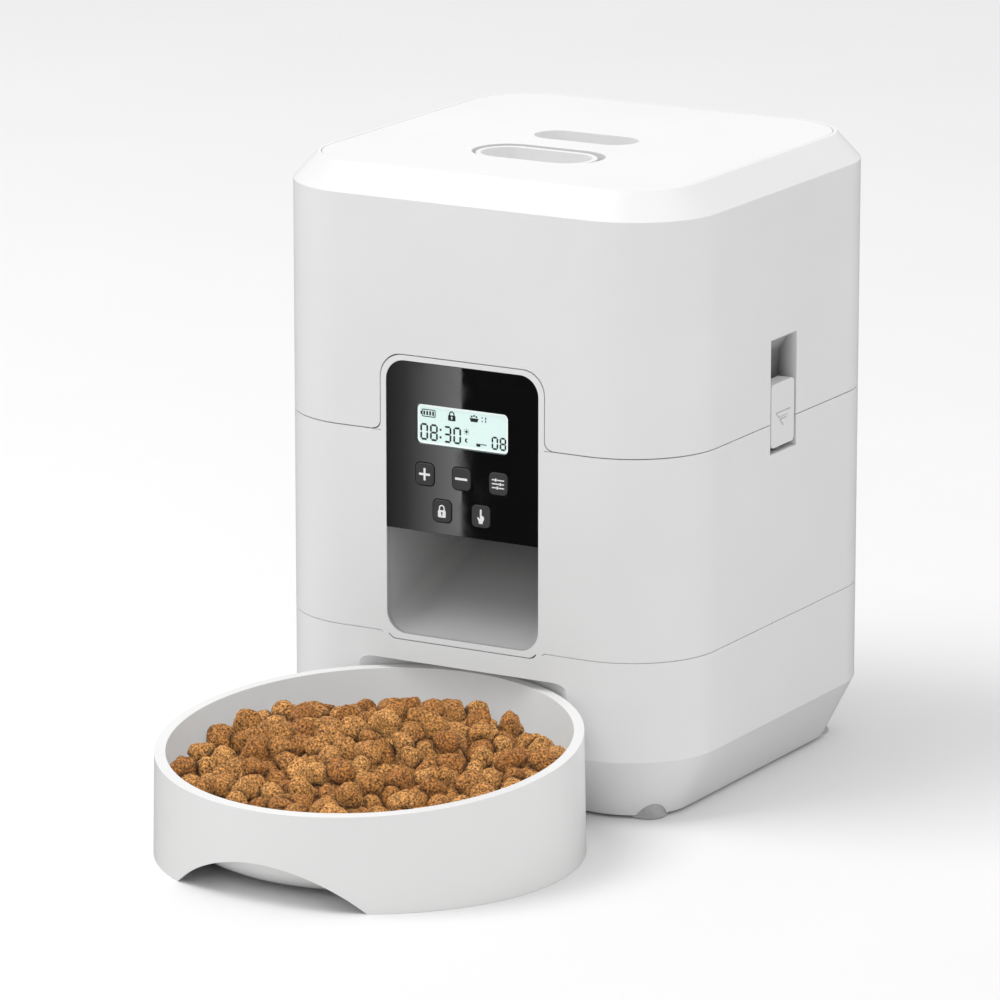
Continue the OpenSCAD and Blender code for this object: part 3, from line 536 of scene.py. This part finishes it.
def add_area(name, place, aim, width, height, watts):
    """Rectangular lamp that looks from its place to its aim."""
    data = bpy.data.lights.new(name, "AREA")
    data.shape = "RECTANGLE"
    data.size = width
    data.size_y = height
    data.energy = watts
    light = bpy.data.objects.new(name, data)
    light.location = place
    light.rotation_mode = "QUATERNION"
    light.rotation_quaternion = (Vector(aim) - Vector(place)).to_track_quat("-Z", "Y")
    bpy.context.scene.collection.objects.link(light)
    return light


def only_on(light, names):
    """Limits a light to the named CAD nodes."""
    group = bpy.data.collections.new(light.name + "_receivers")
    for name in names:
        group.objects.link(NODES[name])
    light.light_linking.receiver_collection = group


def never_on(light, name):
    """Makes a light skip one object."""
    skipped = bpy.data.collections.new(light.name + "_skipped")
    skipped.objects.link(bpy.data.objects[name])
    light.light_linking.receiver_collection = skipped
    skipped.collection_objects[0].light_linking.link_state = "EXCLUDE"


# The soft box mirrored by the panel: its distance, width, margin and sideways shift in metres
GLOW_REACH = mm(330)
GLOW_WIDTH = mm(46)
GLOW_MARGIN = mm(10)
GLOW_SHIFT = mm(2.6)
GLOW_WATTS = 0.045
GLOW_STOPS = [(0.0, 0.03), (0.35, 0.19), (0.65, 0.56), (1.0, 1.0)]


def add_panel_glow():
    """The soft box whose edge the gloss panel mirrors as a pale band over its left half."""
    slide_x = math.tan(math.radians(CAMERA_AZIMUTH)) * GLOW_REACH
    slope = math.tan(math.radians(CAMERA_ELEVATION)) / math.cos(math.radians(CAMERA_AZIMUTH))
    spread = 1 + GLOW_REACH / CAMERA_DISTANCE
    panel_low, panel_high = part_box("panel_lens")
    height = (panel_high.z - panel_low.z) * spread + GLOW_MARGIN
    centre = Vector((
        -GLOW_WIDTH / 2 - slide_x - GLOW_SHIFT,
        FRONT_Y - GLOW_REACH,
        (panel_low.z + panel_high.z) / 2 - slope * GLOW_REACH,
    ))
    light = add_area("panel_glow", centre, centre + Vector((0, 1, 0)), GLOW_WIDTH, height, GLOW_WATTS)
    light.data.use_nodes = True
    tree = light.data.node_tree
    spot = tree.nodes.new("ShaderNodeNewGeometry")
    axes = tree.nodes.new("ShaderNodeSeparateXYZ")
    shade = tree.nodes.new("ShaderNodeValToRGB")
    set_stops(shade.color_ramp, GLOW_STOPS)
    tree.links.new(spot.outputs["Parametric"], axes.inputs["Vector"])
    tree.links.new(axes.outputs["X"], shade.inputs["Fac"])
    tree.links.new(shade.outputs["Color"], tree.nodes["Emission"].inputs["Color"])
    only_on(light, ["panel_lens"])


# The room's strength; the lamps' places and sides in metres, and their power in watts
WORLD_STRENGTH = 0.74
KEY_PLACE = (-1.1, TOWER_Y - 0.95, 2.7)
KEY_SIDE = 1.7
KEY_WATTS = 38
FILL_PLACE = (1.7, TOWER_Y - 0.1, 2.6)
FILL_SIDE = 2.6
FILL_WATTS = 19
LAMP_AIM = (0, TOWER_Y, 0.1)


def add_lights():
    add_world(WORLD_STRENGTH)
    add_area("key", KEY_PLACE, LAMP_AIM, KEY_SIDE, KEY_SIDE, KEY_WATTS)
    side_fill = add_area("side_fill", FILL_PLACE, LAMP_AIM, FILL_SIDE, FILL_SIDE, FILL_WATTS)
    never_on(side_fill, "floor")
    add_panel_glow()
    view = bpy.context.scene.view_settings
    view.view_transform = "Standard"
    view.look = "None"


add_floor()
add_lights()


# ---------- flat symbols ----------

def rect(x, z, w, h):
    """Closed loop of a rectangle centred at (x, z)."""
    return [(x + sx * w / 2, z + sz * h / 2) for sx, sz in ((-1, -1), (1, -1), (1, 1), (-1, 1))]


def disc(x, z, r, count):
    """Closed loop of a circle with a number of corners."""
    turn = 2 * math.pi / count
    return [(x + r * math.cos(i * turn), z + r * math.sin(i * turn)) for i in range(count)]


def soft_rect(x, z, w, h, r, steps=4):
    """Closed loop of a rectangle with round corners."""
    loop = []
    for quarter, (sx, sz) in enumerate([(1, 1), (-1, 1), (-1, -1), (1, -1)]):
        for k in range(steps + 1):
            angle = math.radians(90 * quarter + 90 * k / steps)
            px = x + sx * (w / 2 - r) + r * math.cos(angle)
            pz = z + sz * (h / 2 - r) + r * math.sin(angle)
            loop.append((px, pz))
    return loop


def band(points, width):
    """Closed loop of a stroke of even width along an open line."""
    left = []
    right = []
    for i, here in enumerate(points):
        before = Vector(points[max(i - 1, 0)])
        after = Vector(points[min(i + 1, len(points) - 1)])
        along = (after - before).normalized()
        side = Vector((-along.y, along.x)) * width / 2
        left.append(tuple(Vector(here) + side))
        right.append(tuple(Vector(here) - side))
    return left + right[::-1]


def arc(x, z, r, start, end, steps=12):
    """Open line along a circle, from the start angle to the end angle in degrees."""
    turn = [math.radians(start + (end - start) * i / steps) for i in range(steps + 1)]
    return [(x + r * math.cos(a), z + r * math.sin(a)) for a in turn]


def moved(loops, x, z):
    return [[(x + px, z + pz) for px, pz in loop] for loop in loops]


def mesh_of_curve(name, curve):
    """Turns a curve into a mesh by way of a short-lived object."""
    draft = bpy.data.objects.new(name + "_draft", curve)
    bpy.context.scene.collection.objects.link(draft)
    bpy.context.view_layer.update()
    mesh = bpy.data.meshes.new_from_object(draft.evaluated_get(bpy.context.evaluated_depsgraph_get()))
    bpy.data.objects.remove(draft)
    return mesh


def symbol_mesh(name, loops, thickness, matrix, finish):
    """Fills the loops, in millimetres, as one thin plate; a loop inside another is a hole."""
    curve = bpy.data.curves.new(name, "CURVE")
    curve.dimensions = "2D"
    curve.fill_mode = "BOTH"
    curve.extrude = mm(thickness) / 2
    for loop in loops:
        spline = curve.splines.new("POLY")
        spline.points.add(len(loop) - 1)
        for point, (x, z) in zip(spline.points, loop):
            point.co = (mm(x), mm(z), 0, 1)
        spline.use_cyclic_u = True
    mesh = mesh_of_curve(name, curve)
    mesh.name = name
    mesh.transform(matrix)
    mesh.materials.clear()
    mesh.materials.append(finish)
    return mesh


def add_symbol(name, loops, thickness, matrix, finish, body):
    piece = bpy.data.objects.new(name, symbol_mesh(name, loops, thickness, matrix, finish))
    bpy.context.scene.collection.objects.link(piece)
    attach(piece, body)


def facing_front(x, y, z):
    """Puts a plate drawn in X and Z on a face that looks to -Y."""
    return Matrix.Translation((x, y, z)) @ Matrix.Rotation(math.radians(90), 4, "X")


def facing_side(x, y, z, side):
    """Puts a plate on a face that looks to +X, or to -X where side is -1."""
    turn = Matrix.Rotation(math.radians(90 * side), 4, "Z")
    return Matrix.Translation((x, y, z)) @ turn @ Matrix.Rotation(math.radians(90), 4, "X")


def padlock(width, height):
    """Closed padlock: body with a keyhole, and a shackle."""
    body_h = height * 0.58
    body_z = -height / 2 + body_h / 2
    top = -height / 2 + body_h
    shackle_r = width * 0.3
    line = width * 0.15
    straight = height * 0.42 - shackle_r - line / 2
    shackle = [(shackle_r, top)] + arc(0, top + straight, shackle_r, 0, 180) + [(-shackle_r, top)]
    slot_w = width * 0.05
    keyhole = arc(0, body_z + body_h * 0.1, width * 0.12, -60, 240)
    keyhole += [(-slot_w, body_z - body_h * 0.28), (slot_w, body_z - body_h * 0.28)]
    return [soft_rect(0, body_z, width, body_h, width * 0.12), keyhole, band(shackle, line)]


# Segments of a figure as (x, z, upright) in units of its half width and half height
SEGMENTS = {
    "a": (0, 1, False), "b": (1, 0.5, True), "c": (1, -0.5, True), "d": (0, -1, False),
    "e": (-1, -0.5, True), "f": (-1, 0.5, True), "g": (0, 0, False),
}
FIGURES = {"0": "abcdef", "3": "abcdg", "8": "abcdefg", "1": "bc"}


def figure(digit, x0, z0, width, height, line):
    """Seven-segment figure whose lower left corner is at (x0, z0)."""
    half_w = (width - line) / 2
    half_h = (height - line) / 2
    loops = []
    for segment in FIGURES[digit]:
        sx, sz, upright = SEGMENTS[segment]
        x = x0 + width / 2 + sx * half_w
        z = z0 + height / 2 + sz * half_h
        reach = (half_h / 2 if upright else half_w) - line * 0.16
        tip = line / 2
        ends = [(-reach, 0), (-reach + tip, tip), (reach - tip, tip), (reach, 0), (reach - tip, -tip),
                (-reach + tip, -tip)]
        loops.append([(x + (b if upright else a), z + (a if upright else b)) for a, b in ends])
    return loops


def battery_sign(x, z):
    """Battery lying on its side with four bars, its tip to the left."""
    loops = [soft_rect(x, z, 6.4, 3.2, 0.6), soft_rect(x, z, 5.7, 2.5, 0.4), rect(x - 3.5, z, 0.5, 1.3)]
    return loops + [rect(x - 2.05 + 1.37 * i, z, 0.8, 1.7) for i in range(4)]


def bowl_sign(x, z):
    """Food bowl seen from the side, with three bits above it."""
    bowl = [(x - 2.1, z), (x + 2.1, z), (x + 1.5, z - 1.5), (x - 1.5, z - 1.5)]
    return [bowl] + [disc(x + d, z + 0.65 + (0.35 if d == 0 else 0), 0.42, 12) for d in (-1.1, 0, 1.1)]


def sun_sign(x, z):
    """Small disc with eight rays."""
    loops = [disc(x, z, 0.58, 16)]
    for k in range(8):
        angle = math.pi * k / 4
        ray = [(x + r * math.cos(angle), z + r * math.sin(angle)) for r in (0.85, 1.3)]
        loops.append(band(ray, 0.2))
    return loops


def moon_sign(x, z):
    """Crescent that's open to the right."""
    return [arc(x, z, 0.85, 60, 300) + arc(x + 0.5, z, 0.62, 250, 110, 10)]


def scoop_sign(x, z):
    """Portion scoop: a cup with a straight handle."""
    return [[(x - 1.5, z + 0.6), (x + 0.7, z + 0.6), (x + 0.4, z - 0.6), (x - 1.2, z - 0.6)],
            rect(x + 2.1, z + 0.42, 2.6, 0.36)]


# How far behind the window's front the display's symbols lie
SYMBOL_SETBACK = mm(0.86)

# Thickness of the plates, in millimetres
INK = 0.05
RIM_INK = 0.04
BUTTON_INK = 0.06
ARROW_RELIEF = 0.6
SHADE_PLATE_RELIEF = 0.1


def add_display_symbols():
    """Everything that the display shows, in millimetres from the display's centre."""
    low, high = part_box("display_window")
    loops = battery_sign(-15.8, 4.6)
    loops += moved(padlock(3.4, 4.0), -5.1, 4.6)
    loops += bowl_sign(5.2, 4.9)
    loops += [rect(8.9, 5.5, 0.5, 0.5), rect(8.9, 4.1, 0.5, 0.5)]
    loops += figure("1", 8.6, 3.3, 2.2, 3.0, 0.5)
    for digit, x in zip("0830", (-19.7, -15.2, -8.9, -4.4)):
        loops += figure(digit, x, -6.6, 3.6, 6.9, 0.8)
    loops += [rect(-10.3, -1.6, 0.85, 0.85), rect(-10.3, -4.7, 0.85, 0.85)]
    loops += sun_sign(1.7, -1.0) + moon_sign(1.8, -4.6)
    loops += scoop_sign(7.6, -5.9)
    for digit, x in zip("08", (13.3, 17.0)):
        loops += figure(digit, x, -6.9, 3.0, 5.4, 0.72)
    face = Vector(((low.x + high.x) / 2, low.y + SYMBOL_SETBACK, (low.z + high.z) / 2))
    add_symbol("display_symbols", loops, INK, facing_front(*face), M_SEGMENT, "base")
    # White rim round the display, whose material has a painted glow.
    rim = [soft_rect(0, 0, 41.8, 15.9, 1.9, 6), soft_rect(0, 0, 40.5, 14.6, 1.3, 6)]
    add_symbol("display_rim", rim, RIM_INK, facing_front(*face), M_DISPLAY_RIM, "base")


def hand_sign():
    """Hand with one raised finger."""
    finger = [(-0.35, 0.2)] + arc(0.05, 2.6, 0.4, 180, 0, 8) + [(0.45, 0.5)]
    palm = [(1.45, 0.0), (1.55, -1.2), (0.95, -2.2), (0.9, -3.0), (-0.85, -3.0)]
    thumb = [(-0.9, -2.1), (-1.6, -0.6), (-1.15, -0.3), (-0.7, -0.9), (-0.35, -0.9)]
    return [finger + palm + thumb]


def slider_sign():
    """Three setting sliders, one above the other."""
    loops = []
    reach = 2.8
    gap = 0.6
    for row, knob in ((1.6, -1.1), (0.0, 1.1), (-1.6, -0.3)):
        loops.append(rect((knob - gap - reach) / 2, row, knob - gap + reach, 0.5))
        loops.append(rect((knob + gap + reach) / 2, row, reach - knob - gap, 0.5))
        loops.append(soft_rect(knob, row, 0.85, 1.25, 0.3))
    return loops


def plus_sign(arm, line):
    """Outline of a plus: three of its points, turned a quarter at a time."""
    part = [(line / 2, line / 2), (arm / 2, line / 2), (arm / 2, -line / 2)]
    loop = []
    for _ in range(4):
        loop += part
        part = [(z, -x) for x, z in part]
    return loop


def add_button_symbols():
    """A white sign on each button."""
    line = 0.95
    signs = {
        "plus": [plus_sign(5.1, line)], "minus": [rect(0, 0, 5.6, line)],
        "settings": slider_sign(), "lock": padlock(3.6, 5.2), "feed": hand_sign(),
    }
    for body, loops in signs.items():
        low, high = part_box("button_" + body)
        centre = (low + high) / 2
        place = facing_front(centre.x, low.y, centre.z)
        add_symbol(body + "_symbol", loops, BUTTON_INK, place, M_PRINT, body)


ARROW_Z = mm(153.6)


def add_latch_arrows():
    """Raised arrow on each side latch, pointing the way it slides, on a grey plate a little larger whose
    outline is painted shade.
    """
    bar = [(-5.6, 1.6), (5.6, 1.6), (3.9, 0.0), (-3.9, 0.0)]
    tip = [(-2.4, -1.5), (2.4, -1.5), (0, -3.7)]
    bar_line = [(-6.5, 2.0), (6.5, 2.0), (4.1, -0.45), (-4.1, -0.45)]
    tip_line = [(-3.2, -1.05), (3.2, -1.05), (0, -4.4)]
    for side, body in ((1, "latch_right"), (-1, "latch_left")):
        low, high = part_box("latch_button_right" if side > 0 else "latch_button_left")
        outer = high.x if side > 0 else low.x
        place = facing_side(outer, (low.y + high.y) / 2, ARROW_Z, side)
        add_symbol(body + "_arrow", [bar, tip], ARROW_RELIEF, place, M_TRIM, body)
        # Grey plate behind the arrow: painted shade round its edges.
        shade_plate = body + "_arrow_groove"
        add_symbol(shade_plate, [bar_line, tip_line], SHADE_PLATE_RELIEF, place, M_GREY, body)


add_display_symbols()
add_button_symbols()
add_latch_arrows()


# ---------- food ----------

# Inside of the bowl, in millimetres: its floor, the flat floor's radius, and the radius and centre
# height of the bend between floor and wall
DISH_FLOOR = 4.2
DISH_FLAT_R = 58
DISH_BEND_R = 22.3
DISH_BEND_Z = 26.5

# The pieces: how many there are, how many of them lie buried, their radii in millimetres, the share
# of two radii at which neighbours touch, and how much each piece is enlarged over its ball
KIBBLE_COUNT = 870
KIBBLE_BURIED = 440
KIBBLE_RADII = (3.9, 5.6)
KIBBLE_TOUCH = 0.88
KIBBLE_SWELL = 1.06

# The heap: its peak in millimetres, its slope, how many places each ball tries, and the gaps that
# balls and pieces keep to the wall
HEAP_PEAK = (-4, 18)
HEAP_SLOPE = 0.20
HEAP_TRIES = 30
WALL_GAP = 0.4
SKIN = 0.3

# Keeps a divisor off zero
TINY = 1e-6


def dish_rest(distance, r):
    """Height, in millimetres, at which a ball rests on the dish at a distance from its axis."""
    out = np.clip(distance - DISH_FLAT_R, 0, DISH_BEND_R - r)
    curved = DISH_BEND_Z - np.sqrt(np.maximum((DISH_BEND_R - r) ** 2 - out ** 2, 0))
    return np.where(distance < DISH_FLAT_R, DISH_FLOOR + r, curved)


def kept_in_dish(points):
    """Draws points, in millimetres from the dish's axis, back to just inside its wall."""
    distance = np.hypot(points[:, 0], points[:, 1])
    out = np.maximum(distance - DISH_FLAT_R, 0)
    down = np.minimum(points[:, 2] - DISH_BEND_Z, 0)
    reach = np.hypot(out, down)
    room = DISH_BEND_R - SKIN
    pull = np.where((reach > room) & (out > 0), room / np.maximum(reach, TINY), 1.0)
    inward = np.where(out > 0, (DISH_FLAT_R + out * pull) / np.maximum(distance, TINY), 1.0)
    low = np.where(points[:, 2] < DISH_BEND_Z, DISH_BEND_Z + down * pull, points[:, 2])
    kept = points * inward[:, None]
    kept[:, 2] = np.maximum(low, DISH_FLOOR + SKIN)
    return kept


def heap(seed):
    """Drops balls one by one, each at the lowest of a few random places, pulled towards the peak."""
    rng = np.random.default_rng(seed)
    balls = np.zeros((0, 4))
    for _ in range(KIBBLE_COUNT):
        r = rng.uniform(*KIBBLE_RADII)
        distance = (DISH_FLAT_R + DISH_BEND_R - r - WALL_GAP) * np.sqrt(rng.random(HEAP_TRIES))
        angle = rng.random(HEAP_TRIES) * 2 * math.pi
        x = distance * np.cos(angle)
        y = distance * np.sin(angle)
        z = dish_rest(distance, r)
        if len(balls):
            gap2 = (x[:, None] - balls[:, 0]) ** 2 + (y[:, None] - balls[:, 1]) ** 2
            touch = KIBBLE_TOUCH * (r + balls[:, 3])
            over = balls[:, 2] + np.sqrt(np.maximum(touch ** 2 - gap2, 0))
            z = np.maximum(z, np.where(gap2 < touch ** 2, over, 0).max(axis=1))
        cost = z + HEAP_SLOPE * np.hypot(x - HEAP_PEAK[0], y - HEAP_PEAK[1])
        best = int(np.argmin(cost))
        balls = np.vstack([balls, [x[best], y[best], z[best], r]])
    return balls


def lump(sphere, rng):
    """One baked piece: a ball squeezed unevenly, then swollen and dented by noise."""
    stretch = np.array([rng.uniform(0.86, 1.24), rng.uniform(0.86, 1.1), rng.uniform(0.76, 0.96)])
    offset = Vector(rng.uniform(-50, 50, 3))
    scale = []
    for point in sphere:
        swell = 0.34 * noise.noise(Vector(point) * 0.95 + offset)
        dent = 0.10 * noise.noise(Vector(point) * 3.1 + offset)
        scale.append(1 + swell + dent)
    return sphere * stretch * np.array(scale)[:, None]


def ball_mesh(subdivisions):
    """Points and triangles of a ball of radius 1."""
    bm = bmesh.new()
    bmesh.ops.create_icosphere(bm, subdivisions=subdivisions, radius=1.0)
    points = np.array([v.co[:] for v in bm.verts])
    faces = np.array([[v.index for v in f.verts] for f in bm.faces])
    bm.free()
    return points, faces


# How far apart two balls' centres may be to count as neighbours, and the gap at which the painted shade
# between pieces is gone
NEAR = 13
OPEN_GAP = 2.2


def painted_shade_of(points, index, balls):
    """How open each point of one ball lies, for the shade painted between pieces: 0 where it meets its
    neighbours, 1 well clear of them.
    """
    apart = np.linalg.norm(balls[:, :3] - balls[index, :3], axis=1)
    near = balls[(apart < NEAR) & (apart > 0)]
    if not len(near):
        return np.ones(len(points))
    gap = np.linalg.norm(points[:, None] - near[:, :3], axis=2) - near[:, 3]
    return np.clip(gap.min(axis=1) / OPEN_GAP, 0, 1)


def baked_pieces():
    """Points, triangles, tones and painted shades of the heap. The buried pieces, dropped first, are
    coarser.
    """
    rng = np.random.default_rng(11)
    coarse = ball_mesh(2)
    fine = ball_mesh(3)
    balls = heap(seed=5)
    points = []
    triangles = []
    tones = []
    painted_shades = []
    start = 0
    for i, (x, y, z, r) in enumerate(balls):
        sphere, faces = coarse if i < KIBBLE_BURIED else fine
        turn = Vector(rng.normal(size=3)).to_track_quat("Z", "Y").to_matrix()
        shape = lump(sphere, rng) @ np.array(turn).T * r * KIBBLE_SWELL
        points.append(kept_in_dish(shape + np.array([x, y, z])))
        painted_shades.append(painted_shade_of(points[-1], i, balls))
        triangles.append(faces + start)
        tones.append(np.full(len(sphere), rng.random()))
        start += len(sphere)
    return np.vstack(points), np.vstack(triangles), np.concatenate(tones), np.concatenate(painted_shades)


def add_kibble():
    """The heap as one mesh, with each piece's tone and each point's painted shade for its material."""
    points, triangles, tones, painted_shades = baked_pieces()
    verts = points / 1000 + np.array([BOWL_X, BOWL_Y, 0])
    mesh = bpy.data.meshes.new("kibble_in_bowl")
    mesh.from_pydata(verts.tolist(), [], triangles.tolist())
    mesh.polygons.foreach_set("use_smooth", [True] * len(mesh.polygons))
    for name, values in (("tone", tones), ("nook", painted_shades)):
        layer = mesh.attributes.new(name, "FLOAT", "POINT")
        layer.data.foreach_set("value", values)
    mesh.materials.append(M_KIBBLE)
    piece = bpy.data.objects.new("kibble_in_bowl", mesh)
    piece.visible_diffuse = False
    bpy.context.scene.collection.objects.link(piece)
    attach(piece, "bowl")


add_kibble()


# ---------- springs ----------

# Each spring's coil radius, wire radius and turns, the radii in metres
LATCH_COIL = (mm(1.1), mm(0.25), 6)
BOLT_COIL = (mm(1.6), mm(0.3), 5)
LID_COIL = (mm(1), mm(0.25), 6)
LID_COIL_X = mm(14)
STEPS_PER_TURN = 20


def spring_mesh(name, start, end, radius, wire_r, turns):
    """Round wire wound from start to end."""
    axis = Vector(end) - Vector(start)
    turn = axis.to_track_quat("Z", "Y").to_matrix()
    steps = int(turns * STEPS_PER_TURN)
    curve = bpy.data.curves.new(name, "CURVE")
    curve.dimensions = "3D"
    curve.bevel_depth = wire_r
    curve.bevel_resolution = 3
    curve.use_fill_caps = True
    spline = curve.splines.new("POLY")
    spline.points.add(steps)
    for i, point in enumerate(spline.points):
        part = i / steps
        angle = 2 * math.pi * turns * part
        lift = wire_r + (axis.length - 2 * wire_r) * part
        place = Vector(start) + turn @ Vector((radius * math.cos(angle), radius * math.sin(angle), lift))
        point.co = (*place, 1)
    mesh = mesh_of_curve(name, curve)
    mesh.polygons.foreach_set("use_smooth", [True] * len(mesh.polygons))
    mesh.materials.append(M_STEEL)
    return mesh


def add_spring(name, start, end, coil, body):
    """Wound spring from start to end, attached to a body."""
    piece = bpy.data.objects.new(name, spring_mesh(name, start, end, *coil))
    bpy.context.scene.collection.objects.link(piece)
    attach(piece, body)
    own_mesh(piece)
    return piece


def add_latch_spring(word):
    """Upright spring of a side latch, in place of its CAD node."""
    low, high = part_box("latch_spring_" + word)
    middle = (low + high) / 2
    start = (middle.x, middle.y, low.z)
    end = (middle.x, middle.y, high.z)
    piece = add_spring("latch_coil_" + word, start, end, LATCH_COIL, "base")
    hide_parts("latch_spring_" + word)


def add_bolt_spring(side, word):
    """Level spring of a bolt, in place of its CAD node. Its fixed end is the inner one."""
    low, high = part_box("bolt_spring_" + word)
    middle = (low + high) / 2
    inner, outer = (low.x, high.x) if side > 0 else (high.x, low.x)
    start = (inner, middle.y, middle.z)
    end = (outer, middle.y, middle.z)
    piece = add_spring("bolt_coil_" + word, start, end, BOLT_COIL, "base")
    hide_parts("bolt_spring_" + word)


def add_lid_spring(side, word):
    """One of the lid latch's two springs, in place of their CAD node. Its fixed end is the back one."""
    low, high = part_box("lid_latch_springs")
    height = (low.z + high.z) / 2
    start = (side * LID_COIL_X, high.y, height)
    end = (side * LID_COIL_X, low.y, height)
    name = "lid_latch_coil_" + word
    piece = add_spring(name, start, end, LID_COIL, "lid")
    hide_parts("lid_latch_springs")


def add_springs():
    for side, word in ((1, "right"), (-1, "left")):
        add_latch_spring(word)
        add_bolt_spring(side, word)
        add_lid_spring(side, word)


add_springs()
